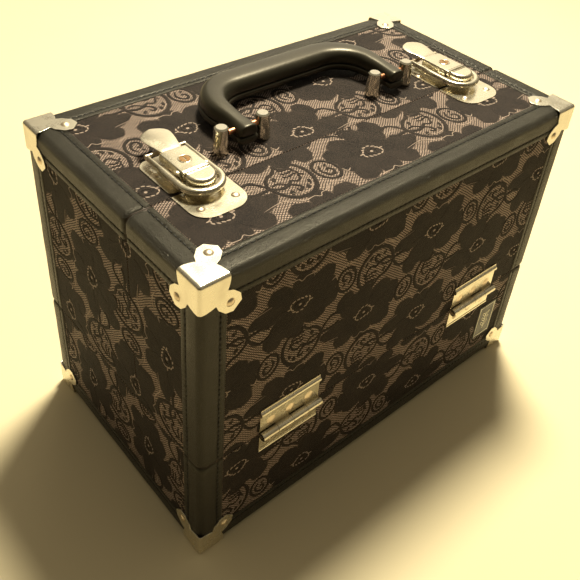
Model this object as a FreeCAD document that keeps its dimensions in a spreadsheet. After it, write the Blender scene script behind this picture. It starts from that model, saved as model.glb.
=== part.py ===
"""Hard-sided makeup train case: a sawn box of three shells, six trays on parallel arms, two key latches."""
import FreeCAD, Part
import Sketcher
import math
import os
from FreeCAD import Vector

doc = FreeCAD.newDocument("makeup_train_case")

# Driving dimensions, millimetres and degrees. X runs along the case, Y from front to rear, Z up.
DIMENSIONS = {
    # the closed box
    "case_length": 370, "case_depth": 216, "case_height": 273, "edge_round": 8,
    "leather": 1.2, "fabric": 0.6, "wall": 4.5, "lining": 0.8, "band": 20, "cap_sheet": 0.9,
    "seam_height": 103, "seam_from_front": 80, "seam_gap": 0.6,
    # corner caps and their rivets
    "cap_square": 19, "lug_reach": 28.5, "lug_half_width": 7.6, "cap_rivet_place": 21.5,
    "rivet_head": 3.2, "rivet_dome": 1.3, "rivet_shank": 1.3, "rivet_depth": 5,
    # hinges
    "hinge_place": 105.5, "hinge_width": 56, "hinge_sheet": 1, "barrel_radius": 3.4, "pin_radius": 1.25,
    "running_gap": 0.05, "barrel_offset": 3.6, "knuckle_gap": 0.4, "leaf_gap": 4.2,
    "upper_leaf": 22, "lower_leaf": 16, "ridge_radius": 2.8, "rim_radius": 1.6, "ridge_place": 17.5,
    "hinge_rivet_pitch": 18, "hinge_rivet_head": 4.2, "hinge_rivet_dome": 0.9, "hinge_rivet_row": 10,
    # badge
    "badge_place": 142, "badge_width": 24, "badge_height": 40, "badge_low": 35, "badge_sheet": 0.7,
    # handle
    "post_pitch": 36, "post_place": 74.5, "post_top": 5.1, "post_base": 6.4, "post_height": 20,
    "post_dome": 1, "post_chamfer": 1.2, "post_shank": 2.5, "post_depth": 8, "pin_end": 3,
    "handle_line": -2, "handle_pin": 2.2, "pin_rise": 13.5, "grip_reach": 56,
    "grip_bend": 30, "grip_top": 22, "grip_parting": 10, "grip_bottom": 3, "upper_half": 9, "lower_half": 8,
    # latches
    "latch_place": 129.5, "latch_sheet": 1, "keeper_half": 21.3, "keeper_front": 61, "keeper_rear": 28.6,
    "keeper_corner": 14, "nose_half": 10.2, "nose_front": 40.4, "nose_rear": 28.4, "nose_top": 13.5,
    "plate_half": 20.5, "plate_rear": 16, "plate_front": 26, "ear_inside": 10.6, "lever_top": 13.5,
    "lever_front": -26.4, "lever_heel": 0, "tab_end": 30, "lever_pivot": -20, "lever_pivot_rise": 8.4,
    "bail_pivot": 10, "bail_outside": 17.3, "bail_inside": 12.3, "bail_low": 5.4, "bail_high": 9.4,
    "bail_front_centre": -29, "latch_pin": 1.3, "lock_place": -12.4, "lock_radius": 3.6,
    "keeper_rivet_place": 13.6, "keeper_rivet_row": -49.5, "keeper_rivet_head": 3, "keeper_rivet_dome": 1.3,
    "plate_rivet_place": 16.8, "plate_rivet_row": -2, "plate_rivet_head": 2.8, "plate_rivet_dome": 1.1,
    "nose_round": 2, "plate_rear_corner": 8, "plate_front_corner": 4, "ear_half": 4, "rail_length": 24,
    "rail_height": 3.5, "lever_sheet": 1, "lever_round": 1.2, "tab_waist": 8.4, "tab_flare": 10.8,
    "tab_sheet": 1.8, "bail_thin": 2, "bail_step": -8, "bail_knob": 3.2, "key_slot": 0.9, "key_slot_depth": 1.2,
    # trays and the linkage that carries them
    "tray_length": 344, "tray_depth": 94, "tray_height": 35, "tray_inset": 3, "tray_wall": 2,
    "tray_corner": 6, "arm_tilt": 12, "arm_pivot_height": 94, "inner_pivot": 40, "arm_spacing": 40,
    "first_tray": 40, "tray_pitch": 48, "stud_height": 9, "stud_radius": 2.5, "arm_half_width": 5,
    "arm_inside": 174.4, "arm_sheet": 1.5, "open_gap": 0.15, "guide_pin_place": 100, "guide_pin": 2,
    "guide_slot_gap": 0.5, "guide_rim": 4.5, "guide_sheet": 1.2, "guide_inside": 176.9,
    "lid_swing": 105, "arm_ratio": 0.5,
}
dims = doc.addObject("Spreadsheet::Sheet", "dims")
for row, (word, value) in enumerate(DIMENSIONS.items(), start=1):
    dims.set(f"A{row}", word)
    dims.set(f"B{row}", str(value))
    dims.setAlias(f"B{row}", word)
doc.recompute()


def size(word):
    """The value of one named cell."""
    return float(getattr(dims, word))


# ---------------------------------------------------------------- small helpers for document objects
def block(name, low, high):
    """A box between two corners, each corner three expressions."""
    box = doc.addObject("Part::Box", name)
    for side, axis, start, end in zip(("Length", "Width", "Height"), "xyz", low, high):
        box.setExpression(side, f"({end}) - ({start})")
        box.setExpression(f".Placement.Base.{axis}", start)
    return box


def cylinder(name, radius, length, base, axis="z", sweep=360):
    """A cylinder whose radius, length and base point are expressions, along x, y or z."""
    rod = doc.addObject("Part::Cylinder", name)
    rod.Angle = sweep
    rod.setExpression("Radius", radius)
    rod.setExpression("Height", length)
    turn = {"x": (Vector(0, 1, 0), 90), "y": (Vector(1, 0, 0), -90), "z": (Vector(0, 0, 1), 0)}[axis]
    rod.Placement = FreeCAD.Placement(Vector(), FreeCAD.Rotation(*turn))
    for letter, text in zip("xyz", base):
        rod.setExpression(f".Placement.Base.{letter}", text)
    return rod


def fuse(name, pieces):
    joined = doc.addObject("Part::MultiFuse", name)
    joined.Shapes = pieces
    return joined


def cut(name, base, tool):
    result = doc.addObject("Part::Cut", name)
    result.Base = base
    result.Tool = tool
    return result


def common(name, base, tool):
    result = doc.addObject("Part::Common", name)
    result.Base = base
    result.Tool = tool
    return result


def rounded(name, base, radius):
    """All twelve edges of a box rounded."""
    soft = doc.addObject("Part::Fillet", name)
    soft.Base = base
    soft.Edges = [(edge, radius, radius) for edge in range(1, 13)]
    return soft


def mirror(name, source, normal, height=0.0):
    """The same piece on the other side of a plane through the origin, or through a height."""
    other = doc.addObject("Part::Mirroring", name)
    other.Source = source
    other.Normal = Vector(*normal)
    other.Base = Vector(0, 0, height)
    return other


def group(name, pieces):
    together = doc.addObject("Part::Compound", name)
    together.Links = pieces
    return together


def shaped(name, shape):
    """A piece whose outline is worked out below from the named sizes."""
    piece = doc.addObject("Part::Feature", name)
    piece.Shape = shape
    piece.Placement = shape.Placement
    return piece


SUBPARTS = []


def subpart(obj, label):
    """Marks an object as one of the case's own pieces and names it."""
    obj.Label = label
    SUBPARTS.append(obj)
    return obj


# ---------------------------------------------------------------- the sawn box and its coverings
HALF_LENGTH = "dims.case_length / 2"
HALF_DEPTH = "dims.case_depth / 2"


def inset_block(name, inset):
    """The closed case's box, moved in from its leather face by an expression."""
    low = (f"-{HALF_LENGTH} + {inset}", f"-{HALF_DEPTH} + {inset}", f"dims.cap_sheet + {inset}")
    high = (f"{HALF_LENGTH} - ({inset})", f"{HALF_DEPTH} - ({inset})", f"dims.case_height - ({inset})")
    return block(name, low, high)


wood_box = rounded("wood_box", inset_block("wood_block", "dims.leather"),
                   size("edge_round") - size("leather"))
leather_box = rounded("leather_box", inset_block("leather_block", "0"), size("edge_round"))
cavity = inset_block("cavity", "dims.leather + dims.wall")
lining_inside = inset_block("lining_inside", "dims.leather + dims.wall + dims.lining")

FAR = "dims.case_length"
BAND_X = f"{HALF_LENGTH} - dims.band"
BAND_Y = f"{HALF_DEPTH} - dims.band"
BAND_LOW = "dims.cap_sheet + dims.band"
BAND_HIGH = "dims.case_height - dims.band"
window_x = block("window_x", (f"-{FAR}", f"-({BAND_Y})", BAND_LOW), (FAR, BAND_Y, BAND_HIGH))
window_y = block("window_y", (f"-({BAND_X})", f"-{FAR}", BAND_LOW), (BAND_X, FAR, BAND_HIGH))
window_z = block("window_z", (f"-({BAND_X})", f"-({BAND_Y})", f"-{FAR}"), (BAND_X, BAND_Y, FAR))
windows = fuse("windows", [window_x, window_y, window_z])

wood = cut("wood", wood_box, cavity)
leather = cut("leather_frame", cut("leather_skin", leather_box, wood_box), windows)
fabric_box = inset_block("fabric_block", "dims.leather - dims.fabric")
wood_square = inset_block("wood_square", "dims.leather")
fabric = common("fabric_panels", cut("fabric_skin", fabric_box, wood_square), windows)
lining = cut("lining_skin", cavity, lining_inside)

SEAM_Y = f"-{HALF_DEPTH} + dims.seam_from_front"
BELOW_SEAM = "dims.seam_height - dims.seam_gap / 2"
ABOVE_SEAM = "dims.seam_height + dims.seam_gap / 2"
regions = {
    "base": block("base_region", (f"-{FAR}", f"-{FAR}", f"-{FAR}"), (FAR, FAR, BELOW_SEAM)),
    "front": block("front_region", (f"-{FAR}", f"-{FAR}", ABOVE_SEAM),
                   (FAR, f"{SEAM_Y} - dims.seam_gap / 2", FAR)),
    "rear": block("rear_region", (f"-{FAR}", f"{SEAM_Y} + dims.seam_gap / 2", ABOVE_SEAM),
                  (FAR, FAR, FAR)),
}
COVERINGS = {"leather_bands": leather, "fabric_cover": fabric, "lining": lining}
for place, region in regions.items():
    shell_name = "base_bin" if place == "base" else f"{place}_shell"
    subpart(common(shell_name, wood, region), shell_name)
    for covering, whole in COVERINGS.items():
        subpart(common(f"{place}_{covering}", whole, region), f"{place}_{covering}")

# ---------------------------------------------------------------- places that the fittings share
FACE_Y = size("case_depth") / 2 - size("leather") + size("fabric")
FACE_Z = size("case_height") - size("leather") + size("fabric")
MIDDLE_Z = (size("case_height") + size("cap_sheet")) / 2


def rivet(point, outward, head, dome, shank=None, depth=None):
    """A dome-headed rivet on a face: a low spherical head and a plain shank behind it."""
    shank = shank or size("rivet_shank")
    depth = depth or size("rivet_depth")
    ball = (head ** 2 + dome ** 2) / (2 * dome)
    outward = Vector(*outward)
    point = Vector(*point)
    sphere = Part.makeSphere(ball, point - outward * (ball - dome), outward)
    disc = Part.makeCylinder(head, dome, point, outward)
    pin = Part.makeCylinder(shank, depth + dome / 2, point - outward * depth, outward)
    return sphere.common(disc).fuse(pin).removeSplitter()


def prism(points, rise, start=0.0):
    """A flat outline of (x, y) points, standing on height start."""
    corners = [Vector(x, y, start) for x, y in points]
    return Part.Face(Part.makePolygon(corners + corners[:1])).extrude(Vector(0, 0, rise))


# ---------------------------------------------------------------- corner caps
def cap_outline():
    """One flap of a cap from the corner of the case: a square, a neck and a house-shaped lug."""
    square = size("cap_square")
    reach = size("lug_reach")
    half = size("lug_half_width") / math.sqrt(2)
    neck = square * 0.79
    shoulder = reach * 0.83
    return [(-5, -5), (-5, square), (neck - half, neck + half), (shoulder - half, shoulder + half),
            (reach - 1, reach - 1), (shoulder + half, shoulder - half), (neck + half, neck - half),
            (square, -5)]


def corner_cap():
    """The top cap at the front left corner: pressed sheet over three faces and the round corner."""
    sheet = size("cap_sheet")
    low = Vector(-size("case_length") / 2, -size("case_depth") / 2, size("cap_sheet"))
    spans = Vector(size("case_length"), size("case_depth"), size("case_height") - size("cap_sheet"))
    edge = size("edge_round")
    margin = Vector(sheet, sheet, sheet)
    outer = Part.makeBox(*(spans + margin * 2), low - margin)
    outer = outer.makeFillet(edge + sheet, outer.Edges)
    inner = Part.makeBox(*spans, low)
    inner = inner.makeFillet(edge, inner.Edges)
    corner = Vector(low.x, low.y, low.z + spans.z)
    deep = edge + 2 * sheet
    flap = prism(cap_outline(), deep + sheet, -deep)
    flaps = []
    for across, along in (((1, 0, 0), (0, 1, 0)), ((0, 0, -1), (1, 0, 0)), ((0, 1, 0), (0, 0, -1))):
        frame = FreeCAD.Rotation(Vector(*across), Vector(*along), Vector(), "XYZ")
        flaps.append(flap.transformed(FreeCAD.Placement(corner, frame).toMatrix()))
    reach = flaps[0].fuse(flaps[1:])
    return outer.cut(inner).common(reach).removeSplitter()


def cap_rivets():
    """Three rivets through the lugs of the front left top cap."""
    place = size("cap_rivet_place")
    top = size("case_height") + size("cap_sheet")
    side = size("case_length") / 2 + size("cap_sheet")
    front = size("case_depth") / 2 + size("cap_sheet")
    x, y, z = place - size("case_length") / 2, place - size("case_depth") / 2, size("case_height") - place
    faces = (((x, y, top), (0, 0, 1)), ((x, -front, z), (0, -1, 0)), ((-side, y, z), (-1, 0, 0)))
    return [rivet(point, out, size("rivet_head"), size("rivet_dome")) for point, out in faces]


left_cap = shaped("left_cap", corner_cap())
front_caps = group("front_caps", [left_cap, mirror("right_cap", left_cap, (1, 0, 0))])
rear_caps = mirror("rear_caps", front_caps, (0, 1, 0))
top_caps = group("top_caps", [front_caps, rear_caps])
subpart(front_caps, "front_corner_caps")
subpart(rear_caps, "rear_corner_caps")
subpart(mirror("bottom_caps", top_caps, (0, 0, 1), MIDDLE_Z), "bottom_corner_caps")

rivets_of_cap = cap_rivets()
left_rivets = shaped("left_cap_rivets", Part.makeCompound(rivets_of_cap))
right_rivets = mirror("right_cap_rivets", left_rivets, (1, 0, 0))
front_rivets = group("front_cap_rivet_group", [left_rivets, right_rivets])
subpart(front_rivets, "front_cap_rivets")
subpart(mirror("rear_cap_rivet_group", front_rivets, (0, 1, 0)), "rear_cap_rivets")
side_rivets = shaped("side_cap_rivets", Part.makeCompound(rivets_of_cap[1:]))
side_pair = group("side_pair", [side_rivets, mirror("side_pair_right", side_rivets, (1, 0, 0))])
side_ring = group("side_ring", [side_pair, mirror("side_pair_rear", side_pair, (0, 1, 0))])
subpart(mirror("bottom_rivet_group", side_ring, (0, 0, 1), MIDDLE_Z), "bottom_cap_rivets")

# ---------------------------------------------------------------- hinges
FACE = "(dims.case_depth / 2 - dims.leather + dims.fabric)"
AXIS_Y = f"-{FACE} - dims.barrel_offset"
KNUCKLE = "(dims.hinge_width - 3 * dims.knuckle_gap) / 4"


def knuckles(name, start, upper, which):
    """Rolled knuckles of one leaf, each a tube with the web that joins it to the leaf."""
    pieces = []
    for index in which:
        x = f"{start} + {index} * ({KNUCKLE} + dims.knuckle_gap)"
        pieces.append(cylinder(f"{name}_roll_{index}", "dims.barrel_radius", KNUCKLE,
                               (x, AXIS_Y, "dims.seam_height"), "x"))
        ends = ("dims.seam_height", "dims.seam_height + dims.leaf_gap + 0.5")
        if not upper:
            ends = ("dims.seam_height - dims.leaf_gap - 0.5", "dims.seam_height")
        pieces.append(block(f"{name}_web_{index}", (x, f"-{FACE} - dims.hinge_sheet", ends[0]),
                            (f"{x} + {KNUCKLE}", f"-{FACE} - 0.05", ends[1])))
    return pieces


def leaf(name, side, upper):
    """One hinge leaf: a riveted plate with a pressed ridge or rim, and two of the four knuckles."""
    start = f"{side} * dims.hinge_place - dims.hinge_width / 2"
    low, high = "dims.seam_height + dims.leaf_gap", "dims.seam_height + dims.leaf_gap + dims.upper_leaf"
    bead, radius = "dims.seam_height + dims.leaf_gap + dims.ridge_place", "dims.ridge_radius"
    if not upper:
        low, high = "dims.seam_height - dims.leaf_gap - dims.lower_leaf", "dims.seam_height - dims.leaf_gap"
        bead, radius = f"{low} + dims.rim_radius", "dims.rim_radius"
    plate = block(f"{name}_plate", (start, f"-{FACE} - dims.hinge_sheet", low),
                  (f"{start} + dims.hinge_width", f"-{FACE}", high))
    ridge = cylinder(f"{name}_ridge", radius, "dims.hinge_width", (start, f"-{FACE}", bead), "x", 180)
    ridge.Placement.Rotation = FreeCAD.Rotation(Vector(0, 1, 0), 90) * FreeCAD.Rotation(Vector(0, 0, 1), 180)
    solid = fuse(f"{name}_solid", [plate, ridge] + knuckles(name, start, upper, (1, 3) if upper else (0, 2)))
    bore = cylinder(f"{name}_bore", "dims.pin_radius + dims.running_gap", "dims.hinge_width + 2",
                    (f"{start} - 1", AXIS_Y, "dims.seam_height"), "x")
    return cut(f"{name}_leaf", solid, bore)


for level, upper in (("lower", False), ("upper", True)):
    pair = group(f"front_{level}_pair", [leaf(f"{level}_{word}", side, upper)
                                         for word, side in (("left", -1), ("right", 1))])
    subpart(pair, f"front_hinge_{level}_leaves")
    subpart(mirror(f"rear_{level}_pair", pair, (0, 1, 0)), f"rear_hinge_{level}_leaves")

pins = [cylinder(f"hinge_pin_{side}", "dims.pin_radius", "dims.hinge_width",
                 (f"{side} * dims.hinge_place - dims.hinge_width / 2", AXIS_Y, "dims.seam_height"), "x")
        for side in (-1, 1)]
front_pins = group("front_pins", pins)
subpart(group("all_hinge_pins", [front_pins, mirror("rear_pins", front_pins, (0, 1, 0))]), "hinge_pins")


def hinge_rivets(sign):
    """Three rivets for each front leaf, above the barrel for +1 and below it for -1."""
    row = size("seam_height") + sign * size("hinge_rivet_row")
    face = -FACE_Y - size("hinge_sheet")
    return [rivet((side * size("hinge_place") + step * size("hinge_rivet_pitch"), face, row), (0, -1, 0),
                  size("hinge_rivet_head"), size("hinge_rivet_dome"))
            for side in (-1, 1) for step in (-1, 0, 1)]


upper_rivets = shaped("front_upper_rivets", Part.makeCompound(hinge_rivets(1)))
lower_rivets = shaped("front_lower_rivets", Part.makeCompound(hinge_rivets(-1)))
subpart(upper_rivets, "front_lid_hinge_rivets")
subpart(mirror("rear_upper_rivets", upper_rivets, (0, 1, 0)), "rear_lid_hinge_rivets")
subpart(group("all_lower_rivets", [lower_rivets, mirror("rear_lower_rivets", lower_rivets, (0, 1, 0))]),
        "base_hinge_rivets")


# ---------------------------------------------------------------- sketched bodies
def new_body(name):
    return doc.addObject("PartDesign::Body", name)


def attach(body, name, role, offset):
    """A sketch on one of the body's own origin planes, its centre moved by three expressions."""
    sketch = body.newObject("Sketcher::SketchObject", name)
    plane = next(item for item in body.Origin.OriginFeatures if item.Role == role)
    sketch.AttachmentSupport = (plane, "")
    sketch.MapMode = "FlatFace"
    for letter, text in zip("xyz", offset):
        sketch.setExpression(f".AttachmentOffset.Base.{letter}", text)
    return sketch


def rectangle(body, name, role, offset, width, depth):
    """A rectangle about the sketch's centre, its two sides bound to expressions."""
    sketch = attach(body, name, role, offset)
    corners = [Vector(-5, -4, 0), Vector(5, -4, 0), Vector(5, 4, 0), Vector(-5, 4, 0)]
    for index in range(4):
        sketch.addGeometry(Part.LineSegment(corners[index], corners[(index + 1) % 4]), False)
    rules = [Sketcher.Constraint("Coincident", index, 2, (index + 1) % 4, 1) for index in range(4)]
    rules += [Sketcher.Constraint("Horizontal", 0), Sketcher.Constraint("Horizontal", 2),
              Sketcher.Constraint("Vertical", 1), Sketcher.Constraint("Vertical", 3),
              Sketcher.Constraint("Symmetric", 0, 1, 2, 1, -1, 1)]
    sketch.addConstraint(rules)
    wide = sketch.addConstraint(Sketcher.Constraint("DistanceX", 0, 1, 0, 2, 10))
    deep = sketch.addConstraint(Sketcher.Constraint("DistanceY", 1, 1, 1, 2, 8))
    sketch.setExpression(f"Constraints[{wide}]", width)
    sketch.setExpression(f"Constraints[{deep}]", depth)
    return sketch


def circle(body, name, role, offset, radius):
    """A circle about the sketch's centre, its radius bound to an expression."""
    sketch = attach(body, name, role, offset)
    sketch.addGeometry(Part.Circle(Vector(0, 0, 0), Vector(0, 0, 1), 3), False)
    sketch.addConstraint(Sketcher.Constraint("Coincident", 0, 3, -1, 1))
    round_rule = sketch.addConstraint(Sketcher.Constraint("Radius", 0, 3))
    sketch.setExpression(f"Constraints[{round_rule}]", radius)
    return sketch


def pad(body, sketch, length, both_ways=False):
    feature = body.newObject("PartDesign::Pad", f"{sketch.Name}_pad")
    feature.Profile = sketch
    feature.setExpression("Length", length)
    if both_ways:
        feature.SideType = "Symmetric"
    return feature


def pocket(body, sketch, depth):
    feature = body.newObject("PartDesign::Pocket", f"{sketch.Name}_pocket")
    feature.Profile = sketch
    feature.setExpression("Length", depth)
    return feature


def fillet(body, base, radius, wanted):
    """Rounds the edges of the last feature for which wanted(edge) is true."""
    doc.recompute()
    names = [f"Edge{index}" for index, edge in enumerate(base.Shape.Edges, start=1) if wanted(edge)]
    feature = body.newObject("PartDesign::Fillet", f"{base.Name}_round")
    feature.Base = (base, names)
    feature.setExpression("Radius", radius)
    return feature


def upright(edge):
    """True for a straight edge that stands along Z."""
    ends = edge.Vertexes
    return len(ends) == 2 and math.hypot(ends[0].X - ends[1].X, ends[0].Y - ends[1].Y) < 0.01


# ---------------------------------------------------------------- badge
badge = new_body("badge")
badge_sketch = rectangle(badge, "badge_outline", "XZ_Plane", ("0", "0", "0"),
                         "dims.badge_width", "dims.badge_height")
pad(badge, badge_sketch, "dims.badge_sheet")
badge.setExpression(".Placement.Base.x", "dims.badge_place")
badge.setExpression(".Placement.Base.y", f"-{FACE}")
badge.setExpression(".Placement.Base.z", "dims.badge_low + dims.badge_height / 2")
subpart(badge, "badge_plate")

# ---------------------------------------------------------------- trays
TILT = math.radians(size("arm_tilt"))


def arm_reach(level):
    """Distance along an arm from its pivot to the stud of a tray, lowest tray first."""
    return size("first_tray") + level * size("tray_pitch")


def stud_place(level):
    """Distance of a tray's inner stud from the case's middle plane, and its height, when closed."""
    reach = arm_reach(level)
    return size("inner_pivot") - reach * math.sin(TILT), size("arm_pivot_height") + reach * math.cos(TILT)


def tray(side, level, name):
    """A moulded tray of three compartments, with a stud at each end for each arm."""
    body = new_body(name)
    outline = rectangle(body, f"{name}_outline", "XY_Plane", ("0", "0", "0"),
                        "dims.tray_length", "dims.tray_depth")
    block_pad = pad(body, outline, "dims.tray_height")
    last = fillet(body, block_pad, "dims.tray_corner", upright)
    across, _ = stud_place(level)
    centre = size("tray_inset") + size("tray_depth") / 2
    for number, place in enumerate((across, across + size("arm_spacing"))):
        stud = circle(body, f"{name}_stud_{number}", "YZ_Plane",
                      (str(side * (place - centre)), "dims.stud_height", "0"), "dims.stud_radius")
        last = pad(body, stud, "2 * (dims.arm_inside + dims.arm_sheet + 0.4)", both_ways=True)
    cell = "(dims.tray_length - 4 * dims.tray_wall) / 3"
    for number in (-1, 0, 1):
        inside = rectangle(body, f"{name}_cell_{number + 1}", "XY_Plane",
                           (f"{number} * ({cell} + dims.tray_wall)", "0", "dims.tray_height"),
                           cell, "dims.tray_depth - 2 * dims.tray_wall")
        last = pocket(body, inside, "dims.tray_height - dims.tray_wall")
    body.Tip = last
    body.setExpression(".Placement.Base.y", f"{side} * (dims.tray_inset + dims.tray_depth / 2)")
    body.Placement.Base.z = stud_place(level)[1] - size("stud_height")
    return body


LEVELS = ("low", "middle", "top")
SIDES = (("front", -1), ("rear", 1))
for side_name, side in SIDES:
    for level, level_name in enumerate(LEVELS):
        subpart(tray(side, level, f"{side_name}_{level_name}"), f"{side_name}_tray_{level_name}")


# ---------------------------------------------------------------- arms, pivots and lid guides
def plate_in_x(face, inside, thickness):
    """A flat face in the YZ plane made into a plate at both ends of the case."""
    right = face.extrude(Vector(thickness, 0, 0))
    right.translate(Vector(inside, 0, 0))
    return Part.makeCompound([right.mirror(Vector(), Vector(1, 0, 0)), right])


def stadium(length, half):
    """A straight bar outline with round ends in the YZ plane, its first centre on the origin."""
    tip = Vector(0, 0, length)
    sides = [Part.makeLine(Vector(0, sign * half, 0), Vector(0, sign * half, length)) for sign in (-1, 1)]
    lower = Part.Arc(Vector(0, -half, 0), Vector(0, 0, -half), Vector(0, half, 0)).toShape()
    upper = Part.Arc(Vector(0, -half, length), tip + Vector(0, 0, half), Vector(0, half, length)).toShape()
    return Part.Wire(Part.__sortEdges__(sides + [lower, upper]))


def hole(radius, height):
    return Part.Wire(Part.Circle(Vector(0, 0, height), Vector(1, 0, 0), radius).toShape())


def arms(side, outer):
    """The two arms, left and right, that share a pivot line."""
    pin = size("stud_radius") + (size("open_gap") if outer else size("running_gap"))
    holes = [hole(size("stud_radius") + size("running_gap"), 0)]
    holes += [hole(pin, arm_reach(level)) for level in range(len(LEVELS))]
    face = Part.Face([stadium(arm_reach(len(LEVELS) - 1), size("arm_half_width"))] + holes)
    pair = plate_in_x(face, size("arm_inside"), size("arm_sheet"))
    pair.rotate(Vector(), Vector(1, 0, 0), -side * -size("arm_tilt"))
    place = size("inner_pivot") + (size("arm_spacing") if outer else 0)
    pair.translate(Vector(0, side * place, size("arm_pivot_height")))
    return pair


def pivot_rivets():
    """Shouldered rivets that carry the arms on the end walls of the base."""
    wall_face = size("case_length") / 2 - size("leather") - size("wall") - size("lining")
    arm_end = size("arm_inside") + size("arm_sheet")
    rivets = []
    for end in (-1, 1):
        for side in (-1, 1):
            for place in (size("inner_pivot"), size("inner_pivot") + size("arm_spacing")):
                point = Vector(0, side * place, size("arm_pivot_height"))
                out = Vector(end, 0, 0)
                stretches = ((size("arm_inside") - 1, 0.8, size("arm_half_width") - 0.5),
                             (size("arm_inside") - 1, wall_face - size("arm_inside") + 4, size("stud_radius")),
                             (arm_end + 0.2, wall_face - arm_end - 0.2, size("arm_half_width") - 0.5))
                solids = [Part.makeCylinder(radius, length, point + out * start, out)
                          for start, length, radius in stretches]
                rivets.append(solids[0].fuse(solids[1:]).removeSplitter())
    return Part.makeCompound(rivets)


def guide_path(side, steps=8):
    """Where an outer arm's roller runs, seen from the lid, as the lid swings open."""
    axis_y = -(FACE_Y + size("barrel_offset"))
    points = []
    for step in range(steps + 1):
        lid = size("lid_swing") * step / steps
        arm = math.radians(size("arm_ratio") * lid) - TILT
        y = -(size("inner_pivot") + size("arm_spacing") + size("guide_pin_place") * math.sin(arm))
        z = size("arm_pivot_height") + size("guide_pin_place") * math.cos(arm)
        spot = Vector(0, y - axis_y, z - size("seam_height"))
        spot = FreeCAD.Rotation(Vector(1, 0, 0), -lid).multVec(spot)
        points.append(Vector(0, -side * (spot.y + axis_y), spot.z + size("seam_height")))
    return points


def ribbon(points, half):
    """A closed outline at a constant distance from a smooth path, with round ends."""
    curve = Part.BSplineCurve()
    curve.interpolate(points)
    low, high = curve.FirstParameter, curve.LastParameter
    sides = []
    ends = {}
    for sign in (-1, 1):
        offsets = []
        for step in range(13):
            where = low + (high - low) * step / 12
            ahead = curve.tangent(where)[0]
            offsets.append(curve.value(where) + Vector(0, -ahead.z, ahead.y) * (sign * half))
        rail = Part.BSplineCurve()
        rail.interpolate(offsets)
        sides.append(rail.toShape())
        ends[sign] = (offsets[0], offsets[-1])
    caps = []
    for index, where, sign in ((0, low, -1), (1, high, 1)):
        outward = curve.tangent(where)[0] * (sign * half)
        caps.append(Part.Arc(ends[-1][index], curve.value(where) + outward, ends[1][index]).toShape())
    return Part.Wire(Part.__sortEdges__(sides + caps))


def lid_guides(side):
    """Slotted guide plates inside the lid's ends, each on two short bosses."""
    path = guide_path(side)
    slot = size("guide_pin") + size("guide_slot_gap")
    face = Part.Face(ribbon(path, slot + size("guide_rim"))).cut(Part.Face(ribbon(path, slot))).Faces[0]
    wall_face = size("case_length") / 2 - size("leather") - size("wall") - size("lining")
    pair = plate_in_x(face, size("guide_inside"), size("guide_sheet"))
    solids = []
    for end, plate in zip((-1, 1), pair.Solids):
        for spot in (path[0] + Vector(0, 0, slot + 2.2), path[-1] - Vector(0, 0, slot + 2.2)):
            start = Vector(end * (size("guide_inside") + 0.1), spot.y, spot.z)
            boss = Part.makeCylinder(1.8, wall_face - size("guide_inside") - 0.1, start, Vector(end, 0, 0))
            plate = plate.fuse(boss)
        solids.append(plate.removeSplitter())
    return Part.makeCompound(solids)


def rollers(side):
    """A small roller pin on each outer arm, running in the lid's guide."""
    start = guide_path(side, 1)[0]
    length = size("guide_inside") + size("guide_sheet") - size("arm_inside") - size("arm_sheet") - 0.1
    return Part.makeCompound([Part.makeCylinder(
        size("guide_pin"), length, Vector(end * (size("arm_inside") + size("arm_sheet")), start.y, start.z),
        Vector(end, 0, 0)) for end in (-1, 1)])


for side_name, side in SIDES:
    subpart(shaped(f"{side_name}_inner_pair", arms(side, False)), f"{side_name}_inner_arms")
    subpart(shaped(f"{side_name}_outer_pair", arms(side, True)), f"{side_name}_outer_arms")
    subpart(shaped(f"{side_name}_rollers", rollers(side)), f"{side_name}_guide_rollers")
    subpart(shaped(f"{side_name}_guides", lid_guides(side)), f"{side_name}_lid_guides")
subpart(shaped("pivots", pivot_rivets()), "arm_pivot_rivets")


# ---------------------------------------------------------------- handle
def handle_path(height):
    """Centre line of the folded handle: two arms that run to the rear and the grip between them."""
    place, bend = size("post_place"), size("grip_bend")
    start, reach = size("handle_line"), size("handle_line") + size("grip_reach")
    corner = Vector(-place + bend, reach - bend, height)
    middle = corner + Vector(-bend, bend, 0) * math.sqrt(0.5)
    left_arm = Part.makeLine(Vector(-place, start - 8, height), Vector(-place, reach - bend, height))
    left_bend = Part.Arc(Vector(-place, reach - bend, height), middle, Vector(-place + bend, reach, height))
    grip = Part.makeLine(Vector(-place + bend, reach, height), Vector(place - bend, reach, height))
    right_bend = Part.Arc(Vector(place - bend, reach, height), Vector(-middle.x, middle.y, height),
                          Vector(place, reach - bend, height))
    right_arm = Part.makeLine(Vector(place, reach - bend, height), Vector(place, start - 8, height))
    return Part.Wire([left_arm, left_bend.toShape(), grip, right_bend.toShape(), right_arm])


def grip_half(low, high, half, crown):
    """One moulded half of the handle: a flat parting face and a crowned back, swept along the path."""
    start = size("handle_line") - 8
    place = size("post_place")
    flat, top = (low, high) if crown > 0 else (high, low)
    edge = top - crown * 5
    spots = [Vector(-place + x, start, FACE_Z + z) for x, z in ((-half, flat), (half, flat), (half, edge),
                                                               (0, top), (-half, edge))]
    rim = Part.makePolygon(spots[:3]).Edges + [Part.makeLine(spots[4], spots[0])]
    back = Part.Arc(spots[2], spots[3], spots[4]).toShape()
    section = Part.Wire(Part.__sortEdges__(rim + [back]))
    solid = handle_path(FACE_Z + flat).makePipeShell([section], True, False)
    bore_start = Vector(-2 * place, size("handle_line"), FACE_Z + size("pin_rise"))
    bore = Part.makeCylinder(size("handle_pin") + size("running_gap"), 4 * place, bore_start, Vector(1, 0, 0))
    return solid.cut(bore)


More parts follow.
